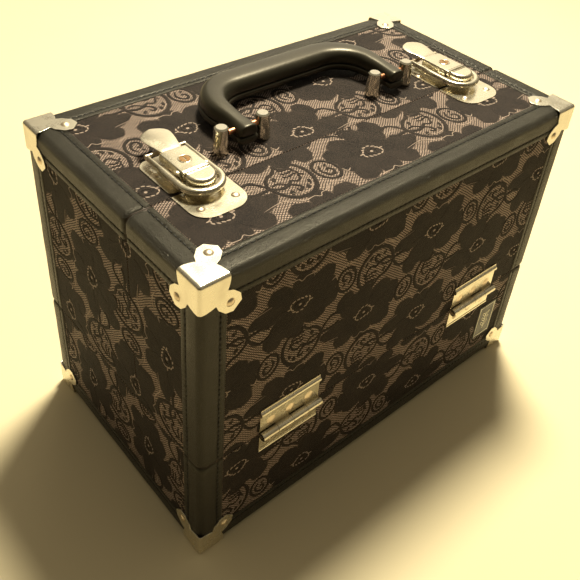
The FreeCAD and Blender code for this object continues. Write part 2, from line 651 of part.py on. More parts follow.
upper_grip = grip_half(size("grip_parting") + size("running_gap"), size("grip_top"), size("upper_half"), 1)
lower_grip = grip_half(size("grip_bottom"), size("grip_parting"), size("lower_half"), -1)
subpart(shaped("grip_upper", upper_grip), "handle_upper_grip")
subpart(shaped("grip_lower", lower_grip), "handle_lower_grip")


def handle_post(x):
    """A tapered turned post with a slightly domed top, cross-bored for the handle pin."""
    foot = Vector(x, size("handle_line"), FACE_Z)
    dome_rise, depth = size("post_dome"), size("post_depth")
    straight = size("post_height") - dome_rise
    cone = Part.makeCone(size("post_base"), size("post_top"), straight, foot)
    dome = Part.makeCone(size("post_top"), size("post_top") - size("post_chamfer"), dome_rise,
                         foot + Vector(0, 0, straight))
    shank = Part.makeCylinder(size("post_shank"), depth + 1, foot - Vector(0, 0, depth))
    return cone.fuse([dome, shank]).removeSplitter()


posts = [handle_post(pair * size("post_place") + step * size("post_pitch") / 2)
         for pair in (-1, 1) for step in (-1, 1)]
subpart(shaped("posts", Part.makeCompound(posts)), "handle_posts")
pin_length = size("post_pitch") + 2 * size("pin_end")
subpart(shaped("handle_pin_pair", Part.makeCompound([Part.makeCylinder(
    size("handle_pin"), pin_length, Vector(side * size("post_place") - pin_length / 2, size("handle_line"),
                                           FACE_Z + size("pin_rise")), Vector(1, 0, 0)) for side in (-1, 1)])),
        "handle_pins")

# ---------------------------------------------------------------- latches
LATCH_X = -size("latch_place")


def soften(shape, radius, wanted):
    """Rounds the edges that wanted(edge) picks."""
    return shape.makeFillet(radius, [edge for edge in shape.Edges if wanted(edge)])


def at_height(height):
    """Picks edges that lie wholly at one height above the case's top face."""
    return lambda edge: all(abs(vertex.Z - FACE_Z - height) < 0.01 for vertex in edge.Vertexes)


def keeper():
    """Front plate with rounded front corners and the raised half-oval nose that the bail closes on."""
    sheet = size("latch_sheet")
    half, front, rear = size("keeper_half"), -size("keeper_front"), -size("keeper_rear")
    plate = Part.makeBox(2 * half, rear - front, sheet, Vector(LATCH_X - half, front, FACE_Z))
    plate = soften(plate, size("keeper_corner"), lambda edge: upright(edge) and edge.Vertexes[0].Y < front + 1)
    nose_half, straight = size("nose_half"), -size("nose_front") + size("nose_half")
    corners = [Vector(LATCH_X + x, y, FACE_Z) for x, y in (
        (-nose_half, straight), (-nose_half, -size("nose_rear")), (nose_half, -size("nose_rear")),
        (nose_half, straight))]
    rounding = Part.Arc(corners[3], Vector(LATCH_X, straight - nose_half, FACE_Z), corners[0]).toShape()
    outline = Part.Wire(Part.makePolygon(corners).Edges + [rounding])
    body = Part.Face(outline).extrude(Vector(0, 0, size("nose_top")))
    rim = [edge for edge in body.Edges if at_height(size("nose_top"))(edge)
           and min(vertex.Y for vertex in edge.Vertexes) < straight + 1]
    body = body.makeFillet(size("nose_round"), rim)
    return plate.fuse(body).removeSplitter()


def latch_base():
    """Rear plate with rounded corners and two ears that hold the lever's pivot pin."""
    sheet = size("latch_sheet")
    half, front, rear = size("plate_half"), -size("plate_front"), size("plate_rear")
    plate = Part.makeBox(2 * half, rear - front, sheet, Vector(LATCH_X - half, front, FACE_Z))
    plate = soften(plate, size("plate_rear_corner"), lambda edge: upright(edge) and edge.Vertexes[0].Y > 0)
    plate = soften(plate, size("plate_front_corner"),
                   lambda edge: upright(edge) and edge.Vertexes[0].Y < front + 1)
    rise = size("lever_pivot_rise")
    round_ear = size("ear_half")
    for sign in (-1, 1):
        inside = LATCH_X + sign * size("ear_inside")
        start = min(inside, inside + sign * sheet)
        ear = Part.makeBox(sheet, 2 * round_ear, rise, Vector(start, size("lever_pivot") - round_ear, FACE_Z))
        ear = ear.fuse(Part.makeCylinder(round_ear, sheet, Vector(start, size("lever_pivot"), FACE_Z + rise),
                                         Vector(1, 0, 0)))
        rail = Part.makeBox(sheet, size("rail_length"), size("rail_height"),
                            Vector(start, size("lever_pivot") + round_ear, FACE_Z))
        plate = plate.fuse([ear, rail])
    bore = Part.makeCylinder(size("latch_pin"), 40, Vector(LATCH_X - 20, size("lever_pivot"), FACE_Z + rise),
                             Vector(1, 0, 0))
    return plate.removeSplitter().cut(bore)


def lever():
    """Folded sheet lever: a keyed top, two side walls and a fan-shaped thumb tab behind."""
    half = size("ear_inside") - 0.4
    front, heel, top = size("lever_front"), size("lever_heel"), size("lever_top")
    pivot = size("lever_pivot")
    low_front = size("lever_pivot_rise") - 2.8
    side_x = LATCH_X - half
    box = Part.makeBox(2 * half, heel - front, top - low_front, Vector(side_x, front, FACE_Z + low_front))
    skirt = Part.makeBox(2 * half, heel - pivot - 8, low_front - 3, Vector(side_x, pivot + 8, FACE_Z + 3))
    rear_skirt = Part.makeBox(2 * half, 14, top - 4.5, Vector(side_x, heel, FACE_Z + 3.2))
    box = box.fuse([skirt, rear_skirt]).removeSplitter()
    sheet = size("lever_sheet")
    hollow = Part.makeBox(2 * (half - sheet), 80, top - 1.4, Vector(LATCH_X - half + sheet, front - 20, FACE_Z))
    box = box.cut(hollow)
    nose_edge = [edge for edge in box.Edges if all(abs(v.Y - front) < 0.01 for v in edge.Vertexes)
                 and at_height(top)(edge)]
    box = box.makeFillet(size("lever_round"), nose_edge)
    waist, flare, end = size("tab_waist"), size("tab_flare"), size("tab_end")
    left = [Vector(LATCH_X - waist, heel - 1, 0), Vector(LATCH_X - waist - 0.2, heel + 6, 0),
            Vector(LATCH_X - flare, heel + 20, 0), Vector(LATCH_X - flare + 3, end - 3.5, 0)]
    tip = Vector(LATCH_X, end, 0)
    right = [Vector(2 * LATCH_X - spot.x, spot.y, 0) for spot in reversed(left)]
    outline = Part.BSplineCurve()
    outline.interpolate(left + [tip] + right)
    face = Part.Face(Part.Wire([outline.toShape(), Part.makeLine(right[-1], left[0])]))
    tab = face.extrude(Vector(0, 0, size("tab_sheet")))
    tab.translate(Vector(0, 0, FACE_Z + top - 1.0))
    pin = size("latch_pin") + size("running_gap")
    rise = FACE_Z + size("lever_pivot_rise")
    bores = [Part.makeCylinder(pin, 60, Vector(LATCH_X - 30, pivot, rise), Vector(1, 0, 0)),
             Part.makeCylinder(size("latch_pin"), 60, Vector(LATCH_X - 30, size("bail_pivot"), rise),
                               Vector(1, 0, 0)),
             Part.makeCylinder(size("lock_radius") + size("running_gap"), 30,
                               Vector(LATCH_X, size("lock_place"), FACE_Z))]
    return box.fuse(tab).cut(Part.makeCompound(bores)).removeSplitter()


def bail():
    """Thick U-shaped bail: two side bars with pierced ends and a half-round front."""
    outside, inside = size("bail_outside"), size("bail_inside")
    low, thick = FACE_Z + size("bail_low"), size("bail_high") - size("bail_low")
    centre = size("bail_front_centre")
    pivot = size("bail_pivot")
    ring = Part.makeCylinder(outside, thick, Vector(LATCH_X, centre, low))
    ring = ring.cut(Part.makeCylinder(inside, thick, Vector(LATCH_X, centre, low)))
    ring = ring.common(Part.makeBox(100, 60, 50, Vector(LATCH_X - 50, centre - 60, low - 5)))
    solids = []
    for sign in (-1, 1):
        edge = LATCH_X + sign * inside
        start = min(edge, edge + sign * (outside - inside))
        step = size("bail_step")
        solids.append(Part.makeBox(outside - inside, step - centre, thick, Vector(start, centre, low)))
        thin = outside - inside - size("bail_thin")
        start = min(edge, edge + sign * thin)
        lug = Part.makeBox(thin, pivot - step, thick, Vector(start, step, low))
        knob = Part.makeCylinder(size("bail_knob"), thin,
                                 Vector(start, pivot, FACE_Z + size("lever_pivot_rise")), Vector(1, 0, 0))
        solids += [lug, knob]
    loop = ring.fuse(solids).removeSplitter()
    bore = Part.makeCylinder(size("latch_pin") + size("running_gap"), 60,
                             Vector(LATCH_X - 30, pivot, FACE_Z + size("lever_pivot_rise")), Vector(1, 0, 0))
    return loop.cut(bore)


def lock():
    """Key cylinder with a key slot in its face and a small cam at its foot."""
    place = Vector(LATCH_X, size("lock_place"), FACE_Z)
    radius = size("lock_radius")
    drum = Part.makeCylinder(radius, size("lever_top") - 4.6, place + Vector(0, 0, 5))
    cam = Part.makeBox(3, 9, 1.2, place + Vector(-1.5, -3, 3.9))
    wide, deep = size("key_slot"), size("key_slot_depth")
    slot = Part.makeBox(wide, 2 * (radius - deep), 2 * deep,
                        place + Vector(-wide / 2, deep - radius, size("lever_top") - deep))
    return drum.fuse(cam).removeSplitter().cut(slot)


def cross_pin(y, half):
    start = Vector(LATCH_X - half, y, FACE_Z + size("lever_pivot_rise"))
    return Part.makeCylinder(size("latch_pin"), 2 * half, start, Vector(1, 0, 0))


def latch_rivets(plate):
    """The two rivets of a latch's keeper or base plate, left and right of its middle."""
    place, row = size(f"{plate}_rivet_place"), size(f"{plate}_rivet_row")
    head, dome = size(f"{plate}_rivet_head"), size(f"{plate}_rivet_dome")
    points = [(LATCH_X + side * place, row, FACE_Z + size("latch_sheet")) for side in (-1, 1)]
    return Part.makeCompound([rivet(point, (0, 0, 1), head, dome) for point in points])


PAIRED = {
    "latch_keeper_plates": keeper(),
    "keeper_rivets": latch_rivets("keeper"),
    "latch_base_plates": latch_base(),
    "latch_base_rivets": latch_rivets("plate"),
    "lever_pins": cross_pin(size("lever_pivot"), size("ear_inside") + size("latch_sheet") + 0.4),
}
for label, shape in PAIRED.items():
    left = shaped(f"{label}_left", shape)
    subpart(group(f"{label}_pair", [left, mirror(f"{label}_right", left, (1, 0, 0))]), label)
SINGLE = {
    "latch_lever": lever(),
    "bail_pin": cross_pin(size("bail_pivot"), size("bail_outside") - 1.6),
    "latch_bail": bail(),
    "lock_cylinder": lock(),
}
for label, shape in SINGLE.items():
    left = subpart(shaped(f"{label}_of_left", shape), f"left_{label}")
    subpart(mirror(f"{label}_of_right", left, (1, 0, 0)), f"right_{label}")

# ---------------------------------------------------------------- check and write
doc.recompute()
for obj in doc.Objects:
    if "Invalid" in obj.State or "Error" in obj.State:
        raise RuntimeError(f"{obj.Name} did not build: {obj.State}")
for obj in SUBPARTS:
    if obj.Shape.isNull() or not obj.Shape.isValid():
        raise RuntimeError(f"{obj.Label} has no valid shape")

os.makedirs("parts", exist_ok=True)
for obj in SUBPARTS:
    obj.Shape.exportStep(f"parts/{obj.Label}.step")
    print(f"{obj.Label:28s} solids {len(obj.Shape.Solids):2d} volume {obj.Shape.Volume:12.1f}")
print(len(SUBPARTS), "sub-parts")
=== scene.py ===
from math import atan2, copysign, cos, degrees, exp, pi, radians, sin, sqrt
import bmesh
import bpy
from mathutils import Matrix, Vector, noise


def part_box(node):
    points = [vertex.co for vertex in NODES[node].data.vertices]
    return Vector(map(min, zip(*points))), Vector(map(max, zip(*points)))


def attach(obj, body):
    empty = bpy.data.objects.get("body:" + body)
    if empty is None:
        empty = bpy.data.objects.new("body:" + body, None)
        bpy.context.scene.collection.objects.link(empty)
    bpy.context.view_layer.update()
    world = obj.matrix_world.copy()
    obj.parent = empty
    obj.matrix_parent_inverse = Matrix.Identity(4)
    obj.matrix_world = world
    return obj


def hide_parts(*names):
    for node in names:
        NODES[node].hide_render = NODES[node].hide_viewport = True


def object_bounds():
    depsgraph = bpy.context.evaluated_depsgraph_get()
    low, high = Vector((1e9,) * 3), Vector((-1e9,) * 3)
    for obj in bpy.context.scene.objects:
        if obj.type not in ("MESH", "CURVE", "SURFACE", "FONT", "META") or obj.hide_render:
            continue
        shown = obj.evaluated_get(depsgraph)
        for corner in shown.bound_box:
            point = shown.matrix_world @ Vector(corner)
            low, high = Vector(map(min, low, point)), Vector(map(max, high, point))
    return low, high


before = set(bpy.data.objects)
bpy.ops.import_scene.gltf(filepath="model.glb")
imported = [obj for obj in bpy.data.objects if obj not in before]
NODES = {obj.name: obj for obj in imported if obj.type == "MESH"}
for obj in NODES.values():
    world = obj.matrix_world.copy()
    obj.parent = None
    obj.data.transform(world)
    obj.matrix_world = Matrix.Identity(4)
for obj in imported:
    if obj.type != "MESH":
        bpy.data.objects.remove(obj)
CAD_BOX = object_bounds()

# -------------------- the plywood boxes
# A base bin and two lids sawn from one glued plywood box, 4.5 mm thick. Only the sawn rims show, when a lid
# is open: thin plies, painted brown-black by hand so that the pale wood doesn't show through the seams.
MM = 0.001


def new_material(name):
    """An empty material, the tree to build it in and the socket of a spot's place, in metres."""
    made = bpy.data.materials.new(name)
    made.use_nodes = True
    made.node_tree.nodes.clear()
    return made, made.node_tree, node(made.node_tree, "TexCoord").outputs["Object"]


def node(tree, kind, inputs=None, **settings):
    """Adds one shader node; inputs are filled with values or joined to other nodes' sockets."""
    made = tree.nodes.new("ShaderNode" + kind)
    for key, value in settings.items():
        setattr(made, key, value)
    for key, value in (inputs or {}).items():
        if isinstance(value, bpy.types.NodeSocket):
            tree.links.new(value, made.inputs[key])
        else:
            made.inputs[key].default_value = value
    return made


def calc(tree, operation, first, second=0.0):
    """One sum on two numbers or sockets."""
    return node(tree, "Math", {0: first, 1: second}, operation=operation).outputs[0]


def blend_colours(tree, share, first, second):
    """A colour between two, by a share from 0 to 1."""
    return node(tree, "Mix", {"Factor": share, "A": first, "B": second}, data_type="RGBA").outputs["Result"]


def between(tree, value, low, high, start=0.0, end=1.0):
    """Maps a value from low..high smoothly on start..end."""
    ends = {"Value": value, "From Min": low, "From Max": high, "To Min": start, "To Max": end}
    return node(tree, "MapRange", ends, interpolation_type="SMOOTHSTEP").outputs["Result"]


def mottle(tree, place, scale, detail=3.0, rough=0.55, stretch=(1, 1, 1)):
    """Soft noise at so many spots a metre, drawn out along an axis by stretch."""
    drawn = node(tree, "Mapping", {"Vector": place, "Scale": stretch}).outputs[0]
    inputs = {"Vector": drawn, "Scale": scale, "Detail": detail, "Roughness": rough}
    return node(tree, "TexNoise", inputs).outputs[0]


def surface(made, tree, colour, roughness, height=None, depth=0.0002, **sockets):
    """Ends a material in one shader, with a bump of the given depth in metres."""
    shader = node(tree, "BsdfPrincipled", {"Base Color": colour, "Roughness": roughness})
    for key, value in sockets.items():
        shader.inputs[key.replace("_", " ")].default_value = value
    if height is not None:
        bump = node(tree, "Bump", {"Height": height, "Distance": depth, "Strength": 1.0})
        tree.links.new(bump.outputs[0], shader.inputs["Normal"])
    ending = node(tree, "OutputMaterial")
    tree.links.new(shader.outputs[0], ending.inputs["Surface"])
    return made


def finish_nodes(material, *names, eased=0):
    """Gives CAD pieces their finish, and softens their sharp edges by so many millimetres."""
    for name in names:
        piece = NODES[name]
        piece.data.materials.clear()
        piece.data.materials.append(material)
        if eased:
            bevel = piece.modifiers.new("eased", "BEVEL")
            bevel.width, bevel.segments, bevel.limit_method = eased * MM, 2, "ANGLE"
            bevel.angle_limit = radians(38)
            bevel.harden_normals = True


def painted_plywood():
    made, tree, place = new_material("painted_plywood")
    plies = mottle(tree, place, 260, 4, 0.7, (1, 1, 3))
    brush = mottle(tree, place, 90, 2, 0.5, (4, 4, 0.6))
    colour = blend_colours(tree, plies, (0.022, 0.014, 0.009, 1), (0.085, 0.055, 0.034, 1))
    rough = between(tree, brush, 0.3, 0.7, 0.5, 0.72)
    return surface(made, tree, colour, rough, plies, 0.0003)


finish_nodes(painted_plywood(), "base_bin", "front_shell", "rear_shell")

# -------------------- the linings
# Brushed black cotton glued inside each box, with a short soft nap that lies unevenly.


def brushed_lining():
    made, tree, place = new_material("brushed_lining")
    nap = mottle(tree, place, 1500, 2, 0.8)
    lie = mottle(tree, place, 22, 3)
    shade = between(tree, lie, 0.3, 0.7)
    colour = blend_colours(tree, shade, (0.012, 0.011, 0.011, 1), (0.035, 0.031, 0.029, 1))
    rough = between(tree, nap, 0.2, 0.8, 0.8, 1.0)
    return surface(made, tree, colour, rough, nap, 0.0002, Sheen_Weight=0.4, Sheen_Roughness=0.5)


finish_nodes(brushed_lining(), "base_lining", "front_lining", "rear_lining")

# -------------------- the cloth cover
# Taupe satin glued on the wood under a black net, the ground of the lace. Its threads cross in slanted lines
# 1.75 mm apart, and pull a little to and fro.
NET_PITCH = 1.75
NET_SLANT = radians(38)
NET_BLACK = (0.012, 0.009, 0.007, 1)
SATIN = (0.50, 0.375, 0.305, 1)


def flat_place(tree):
    """Millimetres along a box face: the two of x, y and z that lie in the face."""
    seen = node(tree, "TexCoord")
    spot = node(tree, "SeparateXYZ", {0: seen.outputs["Object"]})
    facing = node(tree, "SeparateXYZ", {0: seen.outputs["Normal"]})
    on_end = calc(tree, "GREATER_THAN", calc(tree, "ABSOLUTE", facing.outputs[0]), 0.6)
    on_top = calc(tree, "GREATER_THAN", calc(tree, "ABSOLUTE", facing.outputs[2]), 0.6)
    along = node(tree, "Mix", {0: on_end, 2: spot.outputs[0], 3: spot.outputs[1]}).outputs[0]
    across = node(tree, "Mix", {0: on_top, 2: spot.outputs[2], 3: spot.outputs[1]}).outputs[0]
    flat = node(tree, "CombineXYZ", {0: along, 1: across})
    return node(tree, "VectorMath", {0: flat.outputs[0], "Scale": 1000}, operation="SCALE").outputs[0]


def flat_noise(tree, flat, scale, detail):
    """Soft noise at so many spots a millimetre along a face."""
    return node(tree, "TexNoise", {"Vector": flat, "Scale": scale, "Detail": detail}).outputs[0]


def threads(tree, flat, slant, pitch, width):
    """1 on parallel threads of a net and 0 between them."""
    parts = node(tree, "SeparateXYZ", {0: flat})
    over = calc(tree, "MULTIPLY", parts.outputs[0], sin(slant) / pitch)
    level = calc(tree, "ADD", over, calc(tree, "MULTIPLY", parts.outputs[1], cos(slant) / pitch))
    away = calc(tree, "ABSOLUTE", calc(tree, "SUBTRACT", calc(tree, "FRACT", level), 0.5))
    return between(tree, away, width * 0.55, width, 1, 0)


def pulled(tree, flat, amount):
    """The flat place moved about a little, as a pulled net is."""
    drift = node(tree, "TexNoise", {"Vector": flat, "Scale": 0.09, "Detail": 2}).outputs["Color"]
    centred = node(tree, "VectorMath", {0: drift, 1: (0.5, 0.5, 0.5)}, operation="SUBTRACT").outputs[0]
    shift = node(tree, "VectorMath", {0: centred, "Scale": amount}, operation="SCALE").outputs[0]
    return node(tree, "VectorMath", {0: flat, 1: shift}, operation="ADD").outputs[0]


def netted_satin():
    made, tree, _ = new_material("netted_satin")
    flat = pulled(tree, flat_place(tree), 2.2)
    first = threads(tree, flat, NET_SLANT, NET_PITCH, 0.25)
    second = threads(tree, flat, -NET_SLANT, NET_PITCH, 0.22)
    net = calc(tree, "MAXIMUM", first, second)
    weave = flat_noise(tree, flat, 3.2, 2)
    cloudy = flat_noise(tree, flat, 0.035, 3)
    pale = blend_colours(tree, between(tree, weave, 0.35, 0.65), SATIN, (0.34, 0.25, 0.20, 1))
    worn = blend_colours(tree, between(tree, cloudy, 0.3, 0.7, 0, 0.5), pale, (0.25, 0.175, 0.135, 1))
    colour = blend_colours(tree, net, worn, NET_BLACK)
    height = calc(tree, "ADD", net, calc(tree, "MULTIPLY", weave, 0.3))
    return surface(made, tree, colour, between(tree, net, 0, 1, 0.5, 0.85), height, 0.00012,
                   Specular_IOR_Level=0.2, Sheen_Weight=0.05, Sheen_Roughness=0.4)


NET = netted_satin()
finish_nodes(NET, "base_fabric_cover", "front_fabric_cover", "rear_fabric_cover")

# -------------------- the lace
# Black floral lace on the net: dense embroidered flowers with an openwork ring, rosebuds and curls drawn in
# thick gimp cord, and fine pale picots. One spray repeats in rows; every second row is turned over and moved
# half along. Measures are in millimetres, but TRIM_SLACK is in metres.
REPEAT = 132.5
ROW = 42.05
RING_DROP = -1.9
LACE_LIFT = 0.03
CORD_RISE = 0.34
SPRAY_MIDDLE = 35
SPRAY_REACH = 82
TRIM_SLACK = 0.0002


def on_axis(axis, value):
    """A vector along one axis of the case."""
    made = Vector()
    made[axis] = value
    return made


def others(axis):
    """The two axes across one."""
    return [index for index in range(3) if index != axis]


class Cloth:
    """Corners (u, v, height, rim) in millimetres and the faces between them, drawn flat."""

    def __init__(self):
        self.spots = []
        self.faces = []

    def add(self, spots, faces):
        start = len(self.spots)
        self.spots += spots
        self.faces += [[start + corner for corner in face] for face in faces]


def petal(cloth, place, long, wide, angle=0.0, lift=0.0, rise=0.14, lobes=7):
    """One embroidered petal: a low dome with a softly scalloped rim."""
    count = 26
    turn = radians(angle)
    spots = [(place[0], place[1], lift + rise, 0)]
    for share, height in ((0.5, 0.85), (0.88, 0.45), (1.0, 0.0)):
        for step in range(count):
            around = 2 * pi * step / count
            edge = share * (1 + 0.035 * cos(lobes * around))
            x, y = long * edge * cos(around), wide * edge * sin(around)
            spots.append((place[0] + x * cos(turn) - y * sin(turn),
                          place[1] + x * sin(turn) + y * cos(turn), lift + rise * height,
                          1 if share == 1 else 0))
    faces = [[0, 1 + step, 1 + (step + 1) % count] for step in range(count)]
    for ring in range(2):
        near, far = 1 + ring * count, 1 + (ring + 1) * count
        faces += [[near + step, far + step, far + (step + 1) % count, near + (step + 1) % count]
                  for step in range(count)]
    cloth.add(spots, faces)


def smooth_line(points, closed=False, fine=7):
    """Points along a smooth curve through the given ones."""
    count = len(points)
    spans = count if closed else count - 1
    line = []
    for span in range(spans):
        if closed:
            knots = [points[(span + step) % count] for step in (-1, 0, 1, 2)]
        else:
            knots = [points[min(max(span + step, 0), count - 1)] for step in (-1, 0, 1, 2)]
        a, b, c, d = (Vector(knot) for knot in knots)
        for step in range(fine):
            t = step / fine
            line.append(0.5 * (2 * b + (c - a) * t + (2 * a - 5 * b + 4 * c - d) * t * t
                               + (3 * b - a - 3 * c + d) * t ** 3))
    return line if closed else line + [Vector(points[-1])]


def gimp(cloth, points, width, closed=False, lift=0.0, rise=CORD_RISE, taper=0.0):
    """A thick cord sewn along a curve, half round, thinner at its ends by the taper."""
    line = smooth_line(points, closed)
    count = len(line)
    spots, faces = [], []
    for index, here in enumerate(line):
        after = line[(index + 1) % count] if closed else line[min(index + 1, count - 1)]
        before = line[index - 1] if closed else line[max(index - 1, 0)]
        ahead = (after - before).normalized()
        side = Vector((-ahead.y, ahead.x))
        ends = 0.0 if closed else abs(2 * index / (count - 1) - 1) ** 3
        half = width / 2 * (1 - taper * ends)
        for across, height in ((-1, 0), (-0.62, 0.75), (0, 1), (0.62, 0.75), (1, 0)):
            spot = here + side * half * across
            spots.append((spot.x, spot.y, lift + rise * height, 0))
    for index in range(count if closed else count - 1):
        near, far = index * 5, (index + 1) % count * 5
        faces += [[near + k, far + k, far + k + 1, near + k + 1] for k in range(4)]
    cloth.add(spots, faces)


def oval(place, long, wide, angle=0.0, count=10):
    """Points round an oval."""
    turn = radians(angle)
    around = [2 * pi * step / count for step in range(count)]
    return [(place[0] + long * cos(a) * cos(turn) - wide * sin(a) * sin(turn),
             place[1] + long * cos(a) * sin(turn) + wide * sin(a) * cos(turn)) for a in around]


def flower(dark, pale):
    """The big open flower: overlapping petals round an eye, and the openwork ring of picots round it."""
    petals = ((-24, -3, 16, 9.5, 6), (-22, 22, 10, 8, 60), (26, 8, 10, 9, 40), (-17, -14, 12, 9.5, 30),
              (18, -13, 13, 9.5, -30), (14, 14, 12, 10, 30), (-14, 14, 14, 11, -40), (-3, 18.5, 11, 9, 90),
              (21, -2, 13, 10, -8), (1, -17, 11, 9.5, 90), (0, 0, 18, 14, 0))
    for order, (x, y, long, wide, angle) in enumerate(petals):
        petal(dark, (x, y), long, wide, angle, lift=0.006 * order)
    rays = ((10, 22, 8), (9, 19, 62), (10, 20, 118), (9, 24, 176), (10, 20, 236), (10, 20, 300))
    for inner, outer, angle in rays:
        ray = Vector((cos(radians(angle)), sin(radians(angle))))
        bend = Vector((-ray.y, ray.x)) * 1.5
        vein = [ray * inner, ray * (inner + outer) / 2 + bend, ray * outer]
        gimp(dark, [(spot.x, spot.y) for spot in vein], 0.9, lift=0.16, rise=0.12, taper=0.7)
    for step in range(14):
        around = 2 * pi * step / 14
        uneven = 1 + 0.13 * sin(5 * step)
        x, y = 8.2 * uneven * cos(around), 5.5 * uneven * sin(around)
        heading = degrees(atan2(5.5 * cos(around), -8.2 * sin(around)))
        petal(pale, (x, y), 1.5, 0.55, heading + 24 * sin(7 * step), lift=0.24, rise=0.05, lobes=3)
    for side in (-1, 1):
        petal(pale, (side * 9.6, 0.3), 1.5, 0.55, 0, lift=0.24, rise=0.05, lobes=2)
    gimp(dark, oval((0, 0), 4.2, 3.0), 1.3, closed=True, lift=0.22)
    petal(pale, (0, 0), 1.25, 1.0, lift=0.27, rise=0.06)


def rosebud(dark, pale):
    """A bud in heavy cord: a deep cup, a crossing where its stem runs on, and folded petals inside."""
    cup = [(56.5, 15), (54.5, 8), (55.5, 0), (60, -7.5), (67.5, -12), (76, -12), (83, -8), (87.5, -1.5),
           (89.2, 5)]
    cords = ((3.3, 0, cup), (2.8, 0.4, [(89.2, 5), (88, 10), (83, 15), (76, 17.5), (71.5, 23)]),
             (2.8, 0, [(71.5, 23), (70.5, 18.5), (66, 16.5), (60, 18.5), (56.5, 15)]),
             (3.0, 0.5, [(88.5, 4), (82, 1), (75.5, 2.2), (71, 5)]),
             (2.0, 0.6, [(87, 6), (81, 6.5), (75.5, 2.2)]),
             (2.4, 0.5, [(75.5, 2.2), (71.5, -0.5), (69.5, -4.5), (72.5, -6), (74, -3.5)]),
             (2.0, 0.4, [(71, 5), (67.5, 2.5), (64, 4), (62, 8)]))
    for width, taper, points in cords:
        gimp(dark, points, width, taper=taper)
    for rise in (0, 3.6, 7.2):
        fold = [(59 + rise * 0.4, 5.5 + rise), (63.5, 9.8 + rise * 0.8), (69, 8.8 + rise), (73.5, 10 + rise)]
        gimp(dark, fold, 1.7, taper=0.5)
    for across, down in ((61, -2), (65.5, -6), (79, -5.5), (80.5, 11)):
        petal(dark, (across, down), 2.6, 1.7, 40 + across)
    picot = [(52, -9), (57, -14.5), (63, -15.2), (66, -17.8), (70, -15.6), (77, -15.8), (83, -13.5),
             (90, -9.5), (96, -9.2), (108, -11)]
    gimp(pale, picot, 0.85, lift=0.05, rise=0.2, taper=0.7)
    gimp(pale, [(58.5, 2), (60.5, -4), (66, -8.5), (74, -9), (80, -6)], 0.6, lift=0.05, rise=0.15, taper=0.7)


def curl(dark, pale):
    """A small spiral medallion beside the flower, with a comma inside."""
    gimp(dark, oval((42.5, 1.5), 8.6, 10.6, -14), 2.6, closed=True)
    spiral = [(44.5, 7), (47, 2), (44.5, -3.5), (40.5, -4.5), (38.5, -1), (40.5, 2.2), (43, 1)]
    gimp(dark, spiral, 2.4, taper=0.5)
    gimp(dark, [(39, 6.5), (41.5, 4.5)], 2.0, taper=0.5)
    gimp(pale, [(35, -11.5), (40, -13), (46, -12), (50, -9.5)], 0.8, lift=0.05, rise=0.2, taper=0.7)
    gimp(pale, [(27.5, -6), (31, -7.5), (33, -3.5)], 0.8, lift=0.2, rise=0.12, taper=0.6)


def leaf(dark, pale):
    """A pointed leaf of clear net beyond the crossing, outlined by the stem and backed by two dark lobes."""
    gimp(dark, [(89.2, 5), (92.5, 11.5), (98.5, 16.5), (106, 15.5), (109, 12)], 2.7, taper=0.3)
    gimp(dark, [(89.2, 5), (95, 4.5), (101, 4.5), (107, 7)], 3.0, taper=0.3)
    petal(dark, (111, 19.5), 9, 6.5, 20)
    petal(dark, (97, -3), 8, 5, -15)
    gimp(pale, [(93.5, 7.5), (99, 10), (105, 10.5)], 0.7, lift=0.05, rise=0.15, taper=0.8)


def one_spray():
    dark, pale = Cloth(), Cloth()
    for draw in (flower, rosebud, curl, leaf):
        draw(dark, pale)
    return dark, pale


def lace_threads():
    made, tree, _ = new_material("lace_threads")
    flat = flat_place(tree)
    rib = threads(tree, pulled(tree, flat, 5.0), radians(64), 0.85, 0.3)
    fuzz = flat_noise(tree, flat, 2.6, 3)
    show = between(tree, calc(tree, "MULTIPLY", between(tree, fuzz, 0.44, 0.7), rib), 0, 1, 0, 0.75)
    drift = flat_noise(tree, flat, 0.05, 2)
    faded = between(tree, drift, 0.35, 0.65)
    black = blend_colours(tree, faded, (0.0085, 0.0065, 0.0055, 1), (0.016, 0.012, 0.0095, 1))
    rim = node(tree, "Attribute", attribute_name="rim").outputs["Fac"]
    edged = blend_colours(tree, between(tree, rim, 0.45, 0.95, 0, 0.75), black, (0.115, 0.083, 0.064, 1))
    colour = blend_colours(tree, show, edged, (0.17, 0.12, 0.09, 1))
    height = calc(tree, "ADD", rib, fuzz)
    return surface(made, tree, colour, between(tree, fuzz, 0.3, 0.7, 0.62, 0.85), height, 0.00012,
                   Specular_IOR_Level=0.14, Sheen_Weight=0.02, Sheen_Roughness=0.4)


def picot_threads():
    made, tree, _ = new_material("picot_threads")
    flat = flat_place(tree)
    twist = threads(tree, flat, radians(50), 0.7, 0.3)
    fuzz = flat_noise(tree, flat, 1.9, 3)
    shade = calc(tree, "MULTIPLY", twist, between(tree, fuzz, 0.3, 0.65))
    colour = blend_colours(tree, shade, (0.20, 0.14, 0.105, 1), (0.56, 0.43, 0.33, 1))
    return surface(made, tree, colour, between(tree, fuzz, 0.3, 0.7, 0.5, 0.8), twist, 0.0001,
                   Sheen_Weight=0.2, Sheen_Roughness=0.4)


LEATHER_LOW = Vector(map(min, *(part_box(f"{word}_leather_bands")[0] for word in ("base", "front", "rear"))))
LEATHER_HIGH = Vector(map(max, *(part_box(f"{word}_leather_bands")[1] for word in ("base", "front", "rear"))))
BAND = 20 * MM
BODY_OF = {"base": "base", "front": "front_lid", "rear": "rear_lid"}
